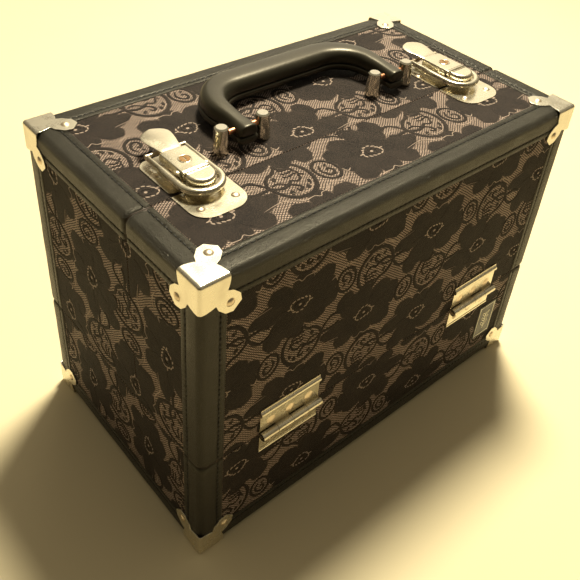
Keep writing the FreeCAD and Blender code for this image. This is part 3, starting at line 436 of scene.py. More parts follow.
# Part, the axis it faces along and which way: a flower's place in mm, the turn, the stretch of the rows.
LACE_LAID = {
    ("front", 1, -1): ((-39.2, 170), 0, 1.0),
    ("base", 1, -1): ((-20, 80), 180, 1.0),
    ("front", 2, 1): ((-70.2, -12), 180, 1.09),
    ("rear", 2, 1): ((-94.2, 36), 180, 1.09),
    ("front", 0, -1): ((-71, 184), 90, 1.15),
    ("rear", 0, -1): ((-71, 184), 90, 1.15),
    ("base", 0, -1): ((-40, 60), 90, 1.0),
    ("front", 0, 1): ((-60, 190), 90, 1.0),
    ("rear", 0, 1): ((24, 172), 90, 1.0),
    ("base", 0, 1): ((30, 50), 90, 1.0),
    ("rear", 1, 1): ((20, 190), 0, 1.0),
    ("base", 1, 1): ((-30, 60), 0, 1.0),
    ("base", 2, -1): ((0, 0), 0, 1.0),
}


def panel_edges(part, axis):
    """The lowest and highest corner of the cloth that the bands leave open on one face, in metres."""
    low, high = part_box(f"{part}_fabric_cover")
    inside = others(axis)
    least = [max(low[index], LEATHER_LOW[index] + BAND) for index in inside]
    most = [min(high[index], LEATHER_HIGH[index] - BAND) for index in inside]
    return inside, least, most


def lay_lace(cloth, part, axis, way, bm):
    """Repeats a spray over one face of the case, trims it to the panel and adds it to a mesh."""
    edging = bm.verts.layers.float.new("rim")
    place, turn, stretch = LACE_LAID[part, axis, way]
    inside, least, most = panel_edges(part, axis)
    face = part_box(f"{part}_fabric_cover")[0 if way < 0 else 1][axis]
    turned = Matrix.Rotation(radians(turn), 2)
    origin = Vector(place)
    for row in range(-7, 8):
        over = -1 if row % 2 else 1
        for along in range(-4, 5):
            shift_u = along * REPEAT + (REPEAT / 2 if row % 2 else 0)
            shift_v = row * ROW + (over - 1) * RING_DROP
            centre = origin + turned @ Vector((shift_u + SPRAY_MIDDLE, shift_v * stretch))
            if not all(least[k] / MM - SPRAY_REACH < centre[k] < most[k] / MM + SPRAY_REACH for k in (0, 1)):
                continue
            corners = []
            for u, v, height, rim in cloth.spots:
                flat = origin + turned @ Vector((u + shift_u, (over * v + shift_v) * stretch))
                spot = on_axis(axis, face + way * (height + LACE_LIFT) * MM)
                spot[inside[0]], spot[inside[1]] = flat.x * MM, flat.y * MM
                corners.append(bm.verts.new(spot))
                corners[-1][edging] = rim
            for path in cloth.faces:
                bm.faces.new([corners[corner] for corner in path])
    for slot, index in enumerate(inside):
        for limit, sign in ((least[slot], -1), (most[slot], 1)):
            cut = on_axis(index, limit - sign * TRIM_SLACK)
            bmesh.ops.bisect_plane(bm, geom=bm.verts[:] + bm.edges[:] + bm.faces[:], plane_co=cut,
                                   plane_no=on_axis(index, sign), clear_outer=True)


def add_object(name, data):
    made = bpy.data.objects.new(name, data)
    bpy.context.scene.collection.objects.link(made)
    return made


def add_mesh(name, bm, material, smooth=True):
    """Turns a bmesh into an object of the case."""
    mesh = bpy.data.meshes.new(name)
    bm.to_mesh(mesh)
    bm.free()
    if smooth:
        mesh.polygons.foreach_set("use_smooth", [True] * len(mesh.polygons))
    mesh.materials.append(material)
    return add_object(name, mesh)


def loft(bm, rows, closed=False, capped=False):
    """Joins rows of points, all of one length and in millimetres, into a skin; gives back its corners."""
    made = [[bm.verts.new(Vector(spot) * MM) for spot in row] for row in rows]
    count = len(made[0])
    for near, far in zip(made, made[1:]):
        for step in range(count if closed else count - 1):
            over = (step + 1) % count
            bm.faces.new([near[step], near[over], far[over], far[step]])
    if capped:
        bm.faces.new(made[0][::-1])
        bm.faces.new(made[-1])
    return made


def face_outwards(bm):
    """Turns every face of the shells to the outside."""
    bmesh.ops.recalc_face_normals(bm, faces=bm.faces)


FACE_WORDS = ("left", "right", "front", "rear", "bottom", "top")
SPRAYS = dict(zip(("flowers", "picots"), one_spray()))
THREADS = {"flowers": lace_threads(), "picots": picot_threads()}
for part, axis, way in LACE_LAID:
    for word, spray in SPRAYS.items():
        sewn = bmesh.new()
        lay_lace(spray, part, axis, way, sewn)
        face_outwards(sewn)
        wrong = [face for face in sewn.faces if face.normal.dot(on_axis(axis, way)) < 0]
        bmesh.ops.reverse_faces(sewn, faces=wrong)
        lace = add_mesh(f"lace_{word}_{part}_{FACE_WORDS[2 * axis + (way > 0)]}", sewn, THREADS[word])
        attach(lace, BODY_OF[part])

# -------------------- the leather bands
# Black leathercloth folded round every edge of the box over thin padding, glued, and topstitched along a
# groove near its inner border, which is turned under in a narrow bead. Each box has its own bands, rolled
# over at the sawn seams. FLANK: how far from the edge and how deep below the face, across one half of a band.
EDGE = 8
ROUND = 6
CASE_LOW, CASE_HIGH = LEATHER_LOW / MM, LEATHER_HIGH / MM
SEAM_HEIGHT = (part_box("base_leather_bands")[1].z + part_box("front_leather_bands")[0].z) / 2 / MM
SEAM_DEPTH = (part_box("front_leather_bands")[1].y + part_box("rear_leather_bands")[0].y) / 2 / MM
SEAM_HALF = 0.3
FLANK = ((6.6, -0.02), (8.6, -0.14), (11.0, -0.2), (13.2, -0.08), (14.3, 0.1), (14.9, 0.38), (15.25, 0.5),
         (15.6, 0.38), (16.1, 0.06), (17.1, -0.16), (18.6, -0.18), (19.5, 0.02), (19.9, 0.4), (20.0, 1.0))
GROOVE = (15.25, 0.16)
STITCH_PITCH = 4.5
STITCH_HALF = 1.75


def case_face(axis, side):
    """Where the leather's face on one side of the case lies."""
    return (CASE_HIGH if side > 0 else CASE_LOW)[axis]


def band_section():
    """Places across a band, each the depth below the one face and below the other."""
    first = [(depth, away) for away, depth in reversed(FLANK)]
    arc = []
    for step in range(1, 8):
        angle = pi / 2 * step / 8
        arc.append((ROUND - (ROUND + 0.1) * cos(angle), ROUND - (ROUND + 0.1) * sin(angle)))
    return first + arc + [(away, depth) for away, depth in FLANK]


SECTION = band_section()


def stitch_places(start, end, rolled):
    """Where the stitches of a band lie along it, in whole steps between its ends."""
    begin = start + (4 if rolled[0] else GROOVE[0] + 3)
    finish = end - (4 if rolled[1] else GROOVE[0] + 3)
    count = int((finish - begin) / STITCH_PITCH)
    return [begin + (finish - begin) * number / count for number in range(count + 1)]


def band_strip(bm, along, sides, start, end, rolled):
    """One band round one edge. sides: the two outward directions; rolled: which ends meet a seam."""
    first, second = others(along)
    corner = [case_face(axis, side) for axis, side in zip((first, second), sides)]
    length = end - start
    inner = int(length / STITCH_PITCH * 4)
    rings = [(share / inner, 0) for share in range(inner + 1)]
    roll = ((0, 2.8), (0.3, 1.75), (0.9, 0.9), (1.9, 0.35), (3.0, 0.08))
    if rolled[0]:
        rings = [ring for ring in rings if ring[0] * length > 3.6]
        rings = [(away / length, sink) for away, sink in roll] + rings
    if rolled[1]:
        rings = [ring for ring in rings if (1 - ring[0]) * length > 3.6]
        rings += [(1 - away / length, sink) for away, sink in reversed(roll)]
    sewn = stitch_places(start, end, rolled)
    pitch = sewn[1] - sewn[0]
    rows = []
    for share, sink in rings:
        row = []
        for depth, away in SECTION:
            mitre = max(depth, away, EDGE)
            begin = start if rolled[0] else start + mitre
            finish = end if rolled[1] else end - mitre
            place = begin + (finish - begin) * share
            unlike = Vector((place * 0.05, depth * 0.2 + away * 0.2 + sum(sides), along * 7.3))
            sag = 0.14 * noise.noise(unlike)
            near_seam = exp(-((max(depth, away) - GROOVE[0]) / 0.9) ** 2)
            pucker = 0.3 * near_seam * cos(2 * pi * (place - sewn[0]) / pitch)
            lift = sag + pucker - sink
            spot = on_axis(along, place)
            on_edge = depth < ROUND and away < ROUND
            spot[first] = corner[0] - sides[0] * (depth - (lift if depth < away or on_edge else 0))
            spot[second] = corner[1] - sides[1] * (away - (lift if away < depth or on_edge else 0))
            row.append(spot)
        rows.append(row)
    loft(bm, rows)


def band_runs():
    """Every band: its box, axis, two outward sides, both ends and which of them are rolled."""
    low, high = CASE_LOW, CASE_HIGH
    for side in (-1, 1):
        lid = "front" if side < 0 else "rear"
        yield "base", 0, (side, -1), low.x, high.x, (False, False)
        yield lid, 0, (side, 1), low.x, high.x, (False, False)
        yield "base", 1, (side, -1), low.y, high.y, (False, False)
        yield "front", 1, (side, 1), low.y, SEAM_DEPTH - SEAM_HALF, (False, True)
        yield "rear", 1, (side, 1), SEAM_DEPTH + SEAM_HALF, high.y, (True, False)
        for depth, word in ((-1, "front"), (1, "rear")):
            yield "base", 2, (side, depth), low.z, SEAM_HEIGHT - SEAM_HALF, (False, True)
            yield word, 2, (side, depth), SEAM_HEIGHT + SEAM_HALF, high.z, (True, False)


def black_leather():
    made, tree, place = new_material("black_leather")
    cells = node(tree, "TexVoronoi", {"Vector": place, "Scale": 1150}, feature="DISTANCE_TO_EDGE")
    creases = between(tree, cells.outputs["Distance"], 0.0, 0.16)
    pores = mottle(tree, place, 2600, 2, 0.7)
    rubbed = mottle(tree, place, 34, 5, 0.62)
    scuffs = mottle(tree, place, 420, 2, 0.8, (1, 1, 0.16))
    wear = between(tree, rubbed, 0.52, 0.72)
    marks = calc(tree, "MULTIPLY", between(tree, scuffs, 0.66, 0.72), between(tree, rubbed, 0.45, 0.6))
    base = blend_colours(tree, wear, (0.0095, 0.0085, 0.0055, 1), (0.018, 0.0165, 0.011, 1))
    colour = blend_colours(tree, calc(tree, "MULTIPLY", marks, 0.4), base, (0.11, 0.10, 0.08, 1))
    polish = between(tree, rubbed, 0.35, 0.65, 0.32, 0.42)
    rough = calc(tree, "ADD", polish, calc(tree, "MULTIPLY", pores, 0.08))
    height = calc(tree, "ADD", creases, calc(tree, "MULTIPLY", pores, 0.35))
    return surface(made, tree, colour, rough, height, 0.00024, Specular_IOR_Level=0.55,
                   Specular_Tint=(1.0, 0.93, 0.76, 1))


def waxed_thread():
    made, tree, place = new_material("waxed_thread")
    twist = mottle(tree, place, 2400, 1, 0.5)
    colour = blend_colours(tree, twist, (0.004, 0.004, 0.003, 1), (0.010, 0.009, 0.007, 1))
    return surface(made, tree, colour, between(tree, twist, 0.3, 0.7, 0.5, 0.75), twist, 0.0001)


def stitch(bm, middle, ahead, outward):
    """One topstitch: a short thread that dips into the leather at both ends."""
    side = ahead.cross(outward)
    rings = []
    half = ((0.75, 0.44, 0.08), (1, 0.2, 0.4))
    for share, radius, sink in ((-1, 0.2, 0.4), (-0.75, 0.44, 0.08), (0, 0.5, 0), *half):
        here = middle + ahead * STITCH_HALF * share - outward * sink
        rings.append([here + side * radius * cos(angle) + outward * radius * sin(angle)
                      for angle in (pi * k / 3 for k in range(6))])
    loft(bm, rings, closed=True, capped=True)


def stitch_rows(bm, along, sides, start, end, rolled):
    """The two rows of topstitching on one band, one in each face."""
    axes = others(along)
    for face in (0, 1):
        for place in stitch_places(start, end, rolled):
            spot = on_axis(along, place)
            for slot, axis in enumerate(axes):
                inset = GROOVE[1] if slot == face else GROOVE[0]
                spot[axis] = case_face(axis, sides[slot]) - sides[slot] * inset
            stitch(bm, spot, on_axis(along, 1), on_axis(axes[face], sides[face]))


LEATHER = black_leather()
THREAD = waxed_thread()
for part, body in BODY_OF.items():
    hide, thread = bmesh.new(), bmesh.new()
    for run in band_runs():
        if run[0] == part:
            band_strip(hide, *run[1:])
            stitch_rows(thread, *run[1:])
    bmesh.ops.remove_doubles(hide, verts=hide.verts, dist=0.00001)
    face_outwards(hide)
    bands = add_mesh(f"{part}_bands", hide, LEATHER)
    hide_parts(f"{part}_leather_bands")
    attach(bands, body)
    stitches = add_mesh(f"{part}_stitches", thread, THREAD)
    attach(stitches, body)

# -------------------- the corner caps
# Pressed from nickel-plated steel sheet and bent over the three faces of each corner, each arm held by one
# rivet. The plate has a soft satin shine with fine rubbing marks, and is dulled in soft clouds.
NICKEL = (0.74, 0.69, 0.56, 1)


def plated(name, colour, low, high, dull=(0.46, 0.40, 0.30, 1)):
    """Plated steel between two roughnesses, with faint rubbing marks and dulled clouds."""
    made, tree, place = new_material(name)
    rubs = mottle(tree, place, 500, 2, 0.5, (1, 7, 1))
    cloud = mottle(tree, place, 60, 3, 0.5)
    shade = blend_colours(tree, between(tree, cloud, 0.5, 0.85, 0, 0.55), colour, dull)
    mix = calc(tree, "ADD", calc(tree, "MULTIPLY", rubs, 0.4), calc(tree, "MULTIPLY", cloud, 0.6))
    return surface(made, tree, shade, between(tree, mix, 0.35, 0.65, low, high), rubs, 0.000004, Metallic=1.0)


SATIN_NICKEL = plated("satin_nickel", NICKEL, 0.24, 0.34)
RIVET_STEEL = plated("rivet_steel", (0.72, 0.60, 0.44, 1), 0.32, 0.45)
CAP_OUT = 0.9
CAP_FOLD = 2.6
CAP_RIM = 0.22
FOLD_END = (0.0, 21.4)
HALF_OUTLINE = ((4.0, 21.3), (7.6, 20.6), (10.9, 19.4), (12.6, 23.6), (17.8, 28.8), (23.6, 29.8))


def cap_flap():
    """One flap's outline from the fold on one side round the lug to the fold on the other, corner last."""
    half = [FOLD_END, *HALF_OUTLINE]
    return half + [(across, along) for along, across in reversed(half)]


def corner_cap(bm, sides):
    """A cap on the corner that lies on these sides of the case, its three flaps still sharp-edged."""
    corner = [case_face(axis, side) + side * CAP_OUT for axis, side in enumerate(sides)]
    known = {}

    def vertex(spot):
        key = tuple(round(value, 4) for value in spot)
        if key not in known:
            known[key] = bm.verts.new(Vector(spot) * MM)
        return known[key]

    for axis in range(3):
        first, second = others(axis)
        path = []
        for u, v in cap_flap() + [(0.0, 0.0)]:
            spot = list(corner)
            spot[first] -= sides[first] * (u + (CAP_OUT if u else 0))
            spot[second] -= sides[second] * (v + (CAP_OUT if v else 0))
            path.append(vertex(spot))
        face = bm.faces.new(path)
        face.normal_update()
        if face.normal[axis] * sides[axis] < 0:
            face.normal_flip()


def pressed_sheet(piece, thick, rim_width):
    """Thickens a skin inwards, eases its rims and shades it by its larger faces."""
    sheet = piece.modifiers.new("sheet", "SOLIDIFY")
    sheet.thickness, sheet.offset = thick * MM, -1
    rim = piece.modifiers.new("rims", "BEVEL")
    rim.width, rim.segments, rim.limit_method = rim_width * MM, 2, "ANGLE"
    rim.angle_limit = radians(50)
    piece.modifiers.new("shading", "WEIGHTED_NORMAL")


for part, height, depths in (("front", 1, (-1,)), ("rear", 1, (1,)), ("bottom", -1, (-1, 1))):
    pressed = bmesh.new()
    for side in (-1, 1):
        for depth in depths:
            corner_cap(pressed, (side, depth, height))
    caps = add_mesh(f"{part}_caps", pressed, SATIN_NICKEL)
    fold = caps.modifiers.new("folds", "BEVEL")
    fold.width, fold.segments, fold.limit_method = CAP_FOLD * MM, 6, "ANGLE"
    pressed_sheet(caps, CAP_OUT, CAP_RIM)
    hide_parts(f"{part}_corner_caps")
    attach(caps, {"front": "front_lid", "rear": "rear_lid", "bottom": "base"}[part])
finish_nodes(RIVET_STEEL, *[f"{word}_cap_rivets" for word in ("front", "rear", "bottom")])

# -------------------- the hinges
# Rolled sheet leaves, bright nickel, with a pressed ridge above and a rolled rim below, three oval rivets in
# each, and a loose steel pin through four knuckles. A narrow strip of the same sheet lies behind each barrel,
# to close the gap between the barrel and the cloth.
BRIGHT_NICKEL = plated("bright_nickel", (0.74, 0.68, 0.53, 1), 0.2, 0.3)
LEAVES = [f"{word}_hinge_{level}_leaves" for word in ("front", "rear") for level in ("upper", "lower")]
finish_nodes(BRIGHT_NICKEL, *LEAVES, eased=0.2)
STRIP_LOW, STRIP_HIGH, STRIP_OUT = 105.6, 107.6, 0.9
LEAF_HALF = 28
CHAMFER = 0.3
hinge_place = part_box("front_hinge_upper_leaves")[1].x / MM - LEAF_HALF
cloth_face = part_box("front_fabric_cover")[0].y / MM
for word, way in (("front", 1), ("rear", -1)):
    strips = bmesh.new()
    for side in (-1, 1):
        rows = []
        for across, ease_in in ((-LEAF_HALF, CHAMFER), (CHAMFER - LEAF_HALF, 0), (LEAF_HALF - CHAMFER, 0),
                                (LEAF_HALF, CHAMFER)):
            out = STRIP_OUT - ease_in
            outline = ((0.05, STRIP_HIGH), (out, STRIP_HIGH), (out, STRIP_LOW + 0.4),
                       (out - 0.25, STRIP_LOW + ease_in), (0.05, STRIP_LOW + ease_in))
            rows.append([(side * hinge_place + across, way * (cloth_face - reach), rise)
                         for reach, rise in outline])
        loft(strips, rows, closed=True, capped=True)
    face_outwards(strips)
    backing = add_mesh(f"{word}_hinge_backing", strips, BRIGHT_NICKEL, smooth=False)
    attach(backing, f"{word}_lid")
finish_nodes(RIVET_STEEL, "hinge_pins", "front_lid_hinge_rivets", "rear_lid_hinge_rivets",
             "base_hinge_rivets")

# -------------------- the badge
# A small dark enamelled plate low on the front, with a fine raised pale border and a plain leafy sprig.


def dark_enamel():
    made, tree, place = new_material("dark_enamel")
    cloud = mottle(tree, place, 150, 3)
    colour = blend_colours(tree, cloud, (0.018, 0.017, 0.014, 1), (0.036, 0.033, 0.027, 1))
    return surface(made, tree, colour, between(tree, cloud, 0.3, 0.7, 0.3, 0.45), cloud, 0.00004)


finish_nodes(dark_enamel(), "badge_plate", eased=0.25)
badge_low, badge_high = (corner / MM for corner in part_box("badge_plate"))
badge_middle = (badge_low + badge_high) / 2


def badge_line(bm, points, width, rise, closed=False):
    """A raised line on the badge's face, its points in mm from the middle."""
    drawn = Cloth()
    gimp(drawn, points, width, closed=closed, rise=rise)
    spots = [Vector((badge_middle.x + u, badge_low.y - height + 0.02, badge_middle.z + v))
             for u, v, height, _ in drawn.spots]
    corners = [bm.verts.new(spot * MM) for spot in spots]
    for path in drawn.faces:
        bm.faces.new([corners[corner] for corner in path])


relief = bmesh.new()
frame_u, frame_v, notch = 10.2, 18.0, 2.0
border = [(frame_u, frame_v - notch), (frame_u - notch, frame_v), (notch - frame_u, frame_v),
          (-frame_u, frame_v - notch), (-frame_u, notch - frame_v), (notch - frame_u, -frame_v),
          (frame_u - notch, -frame_v), (frame_u, notch - frame_v)]
badge_line(relief, border, 0.8, 0.25, closed=True)
badge_line(relief, [(0, -11), (0.6, -4), (-0.4, 3), (0, 10)], 0.9, 0.3)
for side in (-1, 1):
    for rise in (-6, 0, 6):
        badge_line(relief, [(0.2, rise - 2), (side * 3.2, rise + 0.4), (side * 4.6, rise + 4),
                            (side * 1.6, rise + 2.2), (0.2, rise - 1)], 0.7, 0.25)
face_outwards(relief)
sprig = add_mesh("badge_sprig", relief, plated("worn_silver", (0.62, 0.60, 0.50, 1), 0.25, 0.4))
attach(sprig, "base")

# -------------------- trays and linkage
# Six moulded trays of black plastic with a fine spark-eroded grain, carried by flat steel arms whose rollers
# run in slotted guides riveted in the lids.


def moulded_plastic(name, dark, light, grain, low, high):
    made, tree, place = new_material(name)
    spark = mottle(tree, place, grain, 2, 0.65)
    cloud = mottle(tree, place, 30, 3)
    colour = blend_colours(tree, between(tree, cloud, 0.3, 0.7), dark, light)
    return surface(made, tree, colour, between(tree, spark, 0.3, 0.7, low, high), spark, 0.00005,
                   Specular_Tint=(1.0, 0.9, 0.7, 1))


TRAYS = [f"{word}_tray_{level}" for word in ("front", "rear") for level in ("low", "middle", "top")]
finish_nodes(moulded_plastic("tray_plastic", (0.020, 0.019, 0.019, 1), (0.030, 0.029, 0.028, 1), 2200,
                             0.42, 0.6), *TRAYS, eased=0.4)
ARMS = [f"{word}_{kind}" for word in ("front", "rear") for kind in ("inner_arms", "outer_arms", "lid_guides")]
finish_nodes(plated("zinc_arm", (0.58, 0.57, 0.54, 1), 0.28, 0.45), *ARMS, eased=0.2)
finish_nodes(RIVET_STEEL, "arm_pivot_rivets", "front_guide_rollers", "rear_guide_rollers")

# -------------------- the handle
# Two moulded halves of satin black plastic screwed together round a steel core, the lower one a little wider,
# so that a step runs round the grip. It swings on copper pins between pairs of turned, plated posts.
HANDLE_LOW, HANDLE_HIGH = (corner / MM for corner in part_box("handle_upper_grip"))
LOWER_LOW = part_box("handle_lower_grip")[0] / MM
PARTING = HANDLE_LOW.z
ARM_INSET, GRIP_INSET = 9, 9.5
ARM_X = HANDLE_HIGH.x - ARM_INSET
FRONT_END = HANDLE_LOW.y
GRIP_Y = HANDLE_HIGH.y - GRIP_INSET
BEND = 32
ARM_HALF, GRIP_GROWTH, WAIST = 7.8, 4.6, 0.8


def handle_line():
    """Places along the handle's middle line, each with its share of the way from an end to the middle."""
    line = []
    corner_y = GRIP_Y - BEND
    for step in range(10):
        line.append(Vector((-ARM_X, FRONT_END + (corner_y - FRONT_END) * step / 10, 0)))
    for step in range(17):
        angle = pi / 2 * step / 16
        line.append(Vector((-ARM_X + BEND - BEND * cos(angle), corner_y + BEND * sin(angle), 0)))
    for step in range(1, 10):
        line.append(Vector(((-ARM_X + BEND) * (1 - step / 10), GRIP_Y, 0)))
    mirrored = [Vector((-spot.x, spot.y, 0)) for spot in reversed(line)]
    middle = [Vector((0, GRIP_Y, 0))]
    shares = [index / len(line) for index in range(len(line))]
    return line + middle + mirrored, shares + [1.0] + shares[::-1]


def ease(share):
    """Goes from 0 to 1 with a soft start and end."""
    return share * share * (3 - 2 * share)


def squared(value, power):
    """Draws out a sine or a cosine, so that the circle made of them turns into a rounded square."""
    return copysign(abs(value) ** power, value)


def handle_half(name, base, tip, wider, node_name):
    """One half of the handle, from its parting face at height base to its crown at height tip."""
    line, shares = handle_line()
    rows = []
    bm = bmesh.new()
    count = 14
    for index, (here, share) in enumerate(zip(line, shares)):
        after, before = line[min(index + 1, len(line) - 1)], line[max(index - 1, 0)]
        ahead = (after - before).normalized()
        side = Vector((ahead.y, -ahead.x, 0))
        grown = ease(min(1, max(0, (share - 0.12) / 0.6)))
        half = wider + ARM_HALF + GRIP_GROWTH * grown - WAIST * sin(pi * min(1, share / 0.3)) ** 2
        crown = base + (tip - base) * (0.80 + 0.2 * ease(min(1, share / 0.35)))
        row = []
        for step in range(count + 1):
            angle = pi * step / count
            spot = here + side * half * squared(cos(angle), 0.62)
            spot.z = base + (crown - base) * sin(angle) ** 0.72
            row.append(spot)
        rows.append(row)
    made = loft(bm, rows, closed=True)
    for row in (made[0], made[-1]):
        middle = sum((vert.co for vert in row), Vector()) / len(row)
        inset, deep = ([bm.verts.new(vert.co.lerp(middle, share) + Vector((0, -out * MM, 0))) for vert in row]
                       for share, out in ((0.14, 0.8), (0.5, 1.1)))
        for step in range(len(row)):
            over = (step + 1) % len(row)
            bm.faces.new([row[step], row[over], inset[over], inset[step]])
            bm.faces.new([inset[step], inset[over], deep[over], deep[step]])
        bm.faces.new(deep)
    face_outwards(bm)
    half_piece = add_mesh(name, bm, HANDLE_PLASTIC)
    crease = half_piece.data.attributes.new("crease_edge", "FLOAT", "EDGE")
    flat = base * MM
    for edge in half_piece.data.edges:
        ends = [half_piece.data.vertices[vertex].co.z for vertex in edge.vertices]
        crease.data[edge.index].value = 0.85 if all(abs(z - flat) < 1e-6 for z in ends) else 0.0
    smooth = half_piece.modifiers.new("smooth", "SUBSURF")
    smooth.levels = 1
    smooth.render_levels = 1
    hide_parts(node_name)
    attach(half_piece, "handle")


HANDLE_PLASTIC = moulded_plastic("handle_plastic", (0.013, 0.012, 0.008, 1), (0.021, 0.019, 0.012, 1), 1100,
                                 0.30, 0.42)
handle_half("handle_top_half", PARTING + 0.35, HANDLE_HIGH.z, 0.0, "handle_upper_grip")
handle_half("handle_bottom_half", PARTING - 0.1, LOWER_LOW.z, 1.0, "handle_lower_grip")

POST_CHROME = plated("post_chrome", (0.66, 0.63, 0.53, 1), 0.10, 0.22)
finish_nodes(POST_CHROME, "handle_posts", eased=0.35)
finish_nodes(plated("copper_pin", (0.72, 0.33, 0.17, 1), 0.25, 0.4, (0.30, 0.13, 0.07, 1)), "handle_pins")

# -------------------- the latches
# Pressed and plated steel: a keeper plate with a domed nose, a base plate with ears, a folded lever with a
# fan-shaped thumb tab and a brass key cylinder, and a heavy bail that closes round the nose. A bead along the
# rear of each nose stands for its rolled edge.
LEVER_HALF = 10.2
LEVER_SHEET, LEVER_RIM = 1.0, 0.2
BAIL_RADIUS, BAIL_CENTRE = 14.7, -29
BAIL_TALL, ARM_THICK, FRONT_SWELL = 2.3, 1.45, 1.15
NOSE_REAR = -28.4


def lever_rows(middle, top):
    """The lever's folded body: a flat top with rolled edges, a scored line before its lip, and side walls."""
    walls = ((1.0, -5.8), (1.0, -1.1), (0.975, -0.42), (0.93, -0.08), (0.55, 0.06), (0.0, 0.1))
    across = list(walls) + [(-share, drop) for share, drop in reversed(walls[:-1])]
    rows = []
    for y, drop in ((-26.4, -2.2), (-26.3, -1.1), (-26.0, -0.4), (-25.3, -0.05), (-24.4, 0), (-24.0, -0.35),
                    (-23.6, 0), (-12, 0), (-2, 0), (0.6, 0), (1.6, -0.15), (2.2, -0.6)):
        rows.append([(middle + LEVER_HALF * share, y, top + fall + (drop if fall > -2 else 0))
                     for share, fall in across])
    return rows


def tab_rows(middle, top):
    """The thumb tab: narrow at the crease, then a fan that lifts a little to its round tip."""
    rows = []
    for y, half, rise in ((1.2, 8.0, -0.5), (2.4, 7.9, -0.75), (3.6, 7.9, -0.45), (6, 8.2, -0.2), (9, 8.9, 0),
                          (13, 9.9, 0.2), (17, 10.7, 0.4), (20.5, 11.1, 0.55), (23.5, 10.8, 0.65),
                          (26.2, 9.4, 0.72), (28.4, 6.8, 0.75), (29.6, 4.2, 0.75), (30.1, 1.6, 0.75)):
        shares = (-1, -0.93, -0.7, -0.35, 0, 0.35, 0.7, 0.93, 1)
        rows.append([(middle + half * share, y, top + rise - 0.35 * share * share - 0.3 * abs(share) ** 12)
                     for share in shares])
    return rows


def bail_rows(middle, height):
    """The bail's loop from one rear end round the nose to the other: a heavy front and slimmer rear arms."""
    line = [(-BAIL_RADIUS, y) for y in (13.0, 12.6, 11.5, 8, 2, -5, -9, -12, -18, -24)]
    line += [(-BAIL_RADIUS * cos(pi * step / 24), BAIL_CENTRE - BAIL_RADIUS * sin(pi * step / 24))
             for step in range(25)]
    line += [(BAIL_RADIUS, y) for y in (-24, -18, -12, -9, -5, 2, 8, 11.5, 12.6, 13.0)]
    rows = []
    for index, (x, y) in enumerate(line):
        before, after = line[max(index - 1, 0)], line[min(index + 1, len(line) - 1)]
        ahead = Vector((after[0] - before[0], after[1] - before[1])).normalized()
        side = Vector((ahead.y, -ahead.x))
        swell = ease(min(1, max(0, (-4 - y) / 7)))
        round_end = sqrt(max(0.05, 1 - (max(0, y - 10) / 3.1) ** 2))
        thick = (ARM_THICK + FRONT_SWELL * swell) * round_end
        tall = BAIL_TALL * round_end
        row = []
        for step in range(16):
            angle = 2 * pi * step / 16
            sideways = thick * squared(cos(angle), 0.75)
            row.append((middle + x + side.x * sideways, y + side.y * sideways,
                        height + tall * squared(sin(angle), 0.75)))
        rows.append(row)
    return rows


LATCH_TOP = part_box("left_latch_lever")[1].z / MM - 0.8
LATCH_SIDE = (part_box("left_latch_lever")[0].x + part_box("left_latch_lever")[1].x) / 2 / MM
BAIL_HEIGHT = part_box("latch_keeper_plates")[0].z / MM + 7.4
LOCK_LOW, LOCK_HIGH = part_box("left_lock_cylinder")
for word, middle in (("left", LATCH_SIDE), ("right", -LATCH_SIDE)):
    folded = bmesh.new()
    loft(folded, lever_rows(middle, LATCH_TOP))
    loft(folded, tab_rows(middle, LATCH_TOP))
    face_outwards(folded)
    down = [face for face in folded.faces if face.normal.z < -0.2]
    bmesh.ops.reverse_faces(folded, faces=down)
    lever = add_mesh(f"{word}_lever", folded, BRIGHT_NICKEL)
    pressed_sheet(lever, LEVER_SHEET, LEVER_RIM)
    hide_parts(f"{word}_latch_lever")
    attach(lever, f"{word}_lever")

    ring = bmesh.new()
    lock_y = (LOCK_LOW.y + LOCK_HIGH.y) / 2 / MM
    round_lock = []
    for step in range(32):
        angle = 2 * pi * step / 32
        out = Vector((cos(angle), sin(angle), 0))
        round_lock.append([Vector((middle, lock_y - 1.4, LATCH_TOP)) + out * (4.35 + 0.5 * cos(turn))
                           + Vector((0, 0, 0.45 * sin(turn))) for turn in (2 * pi * k / 8 for k in range(8))])
    loft(ring, round_lock + round_lock[:1], closed=True)
    face_outwards(ring)
    collar = add_mesh(f"{word}_key_collar", ring, BRIGHT_NICKEL)
    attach(collar, f"{word}_lever")

    loop = bmesh.new()
    loft(loop, bail_rows(middle, BAIL_HEIGHT), closed=True, capped=True)
    face_outwards(loop)
    bail = add_mesh(f"{word}_bail", loop, BRIGHT_NICKEL)
    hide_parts(f"{word}_latch_bail")
    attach(bail, f"{word}_bail")

lips = bmesh.new()
for middle in (LATCH_SIDE, -LATCH_SIDE):
    rows = []
    for across, thin in ((-9.7, 0.3), (-9.4, 0.55), (-8.8, 0.62), (8.8, 0.62), (9.4, 0.55), (9.7, 0.3)):
        rows.append([(middle + across, NOSE_REAR + 0.35 + thin * cos(2 * pi * k / 8),
                      LATCH_TOP - 0.25 + thin * sin(2 * pi * k / 8)) for k in range(8)])
    loft(lips, rows, closed=True, capped=True)
face_outwards(lips)
nose_lips = add_mesh("nose_lips", lips, BRIGHT_NICKEL)
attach(nose_lips, "front_lid")
finish_nodes(BRIGHT_NICKEL, "latch_keeper_plates", "latch_base_plates", eased=0.3)
finish_nodes(RIVET_STEEL, "keeper_rivets", "latch_base_rivets", "lever_pins", "left_bail_pin",
             "right_bail_pin")
finish_nodes(plated("key_brass", (0.36, 0.21, 0.09, 1), 0.25, 0.4, (0.12, 0.06, 0.03, 1)),
             "left_lock_cylinder", "right_lock_cylinder")

# -------------------- floor and light
# A pale seamless floor under one round lamp, high up behind the case and to its right. A broad, weak light
# stands for the wall on that side, and the room is brighter toward the lamp.


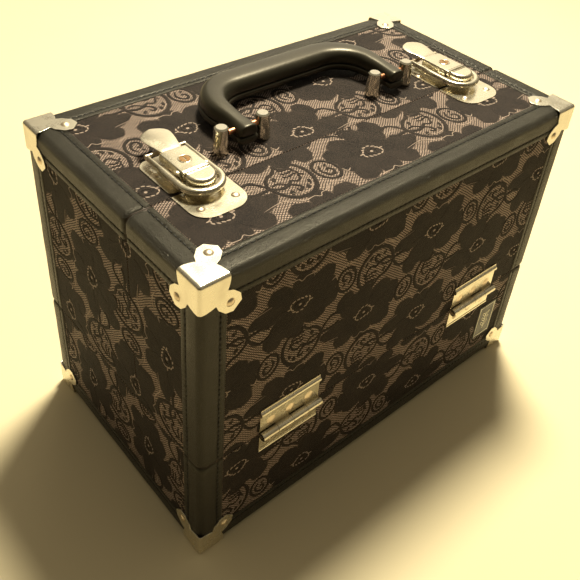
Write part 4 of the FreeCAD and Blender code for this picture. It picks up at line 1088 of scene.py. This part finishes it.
def pale_floor():
    made, tree, place = new_material("pale_floor")
    cloud = mottle(tree, place, 3, 2)
    colour = blend_colours(tree, cloud, (0.70, 0.60, 0.38, 1), (0.74, 0.64, 0.42, 1))
    return surface(made, tree, colour, 0.8)


ground = bmesh.new()
bmesh.ops.create_grid(ground, x_segments=1, y_segments=1, size=6)
floor = add_mesh("floor", ground, pale_floor())
floor.location.z = CAD_BOX[0].z - 0.0005


def soft_light(name, place, aim, size, watts, colour):
    """A round lamp, its size and places in metres."""
    lamp = bpy.data.lights.new(name, "AREA")
    lamp.shape = "DISK"
    lamp.size = size
    lamp.energy = watts
    lamp.color = colour
    holder = add_object(name, lamp)
    holder.location = place
    holder.rotation_euler = (Vector(aim) - Vector(place)).to_track_quat("-Z", "Y").to_euler()


soft_light("overhead", (0.586, 0.426, 1.845), (0, 0, 0.1), 0.42, 74, (1.0, 0.92, 0.70))
soft_light("far_wall", (1.5, 1.6, 1.0), (0, 0, 0.25), 1.9, 9, (1.0, 0.88, 0.66))

room = bpy.data.worlds.new("room")
room.use_nodes = True
bpy.context.scene.world = room
sky = room.node_tree
sky.nodes.clear()
toward_lamp = node(sky, "VectorMath", {0: node(sky, "TexCoord").outputs["Generated"], 1: (0.42, 0.36, 0.83)},
                   operation="DOT_PRODUCT").outputs["Value"]
glow = blend_colours(sky, between(sky, toward_lamp, -0.5, 0.9), (0.13, 0.105, 0.065, 1), (1.0, 0.86, 0.60, 1))
shine = node(sky, "Background", {"Color": glow, "Strength": 0.33})
sky.links.new(shine.outputs[0], node(sky, "OutputWorld").inputs["Surface"])

# -------------------- the camera
# Above the front left corner, looking down across the lid.
CAMERA_PLACE = Vector((-0.3675, -0.3687, 0.5682))
CAMERA_RIGHT = Vector((0.7545, -0.6521, 0.0742))
CAMERA_AHEAD = Vector((0.5571, 0.5765, -0.5977))
lens = bpy.data.cameras.new("camera")
lens.sensor_width = 36
lens.lens = 48.45
lens.shift_x = -0.0142
lens.shift_y = -0.1397
lens.clip_start = 0.01
camera = add_object("camera", lens)
ahead = CAMERA_AHEAD.normalized()
right = (CAMERA_RIGHT - ahead * CAMERA_RIGHT.dot(ahead)).normalized()
turned = Matrix((right, right.cross(ahead), -ahead)).transposed()
camera.matrix_world = Matrix.Translation(CAMERA_PLACE) @ turned.to_4x4()
bpy.context.scene.camera = camera
bpy.context.scene.view_settings.view_transform = "Standard"
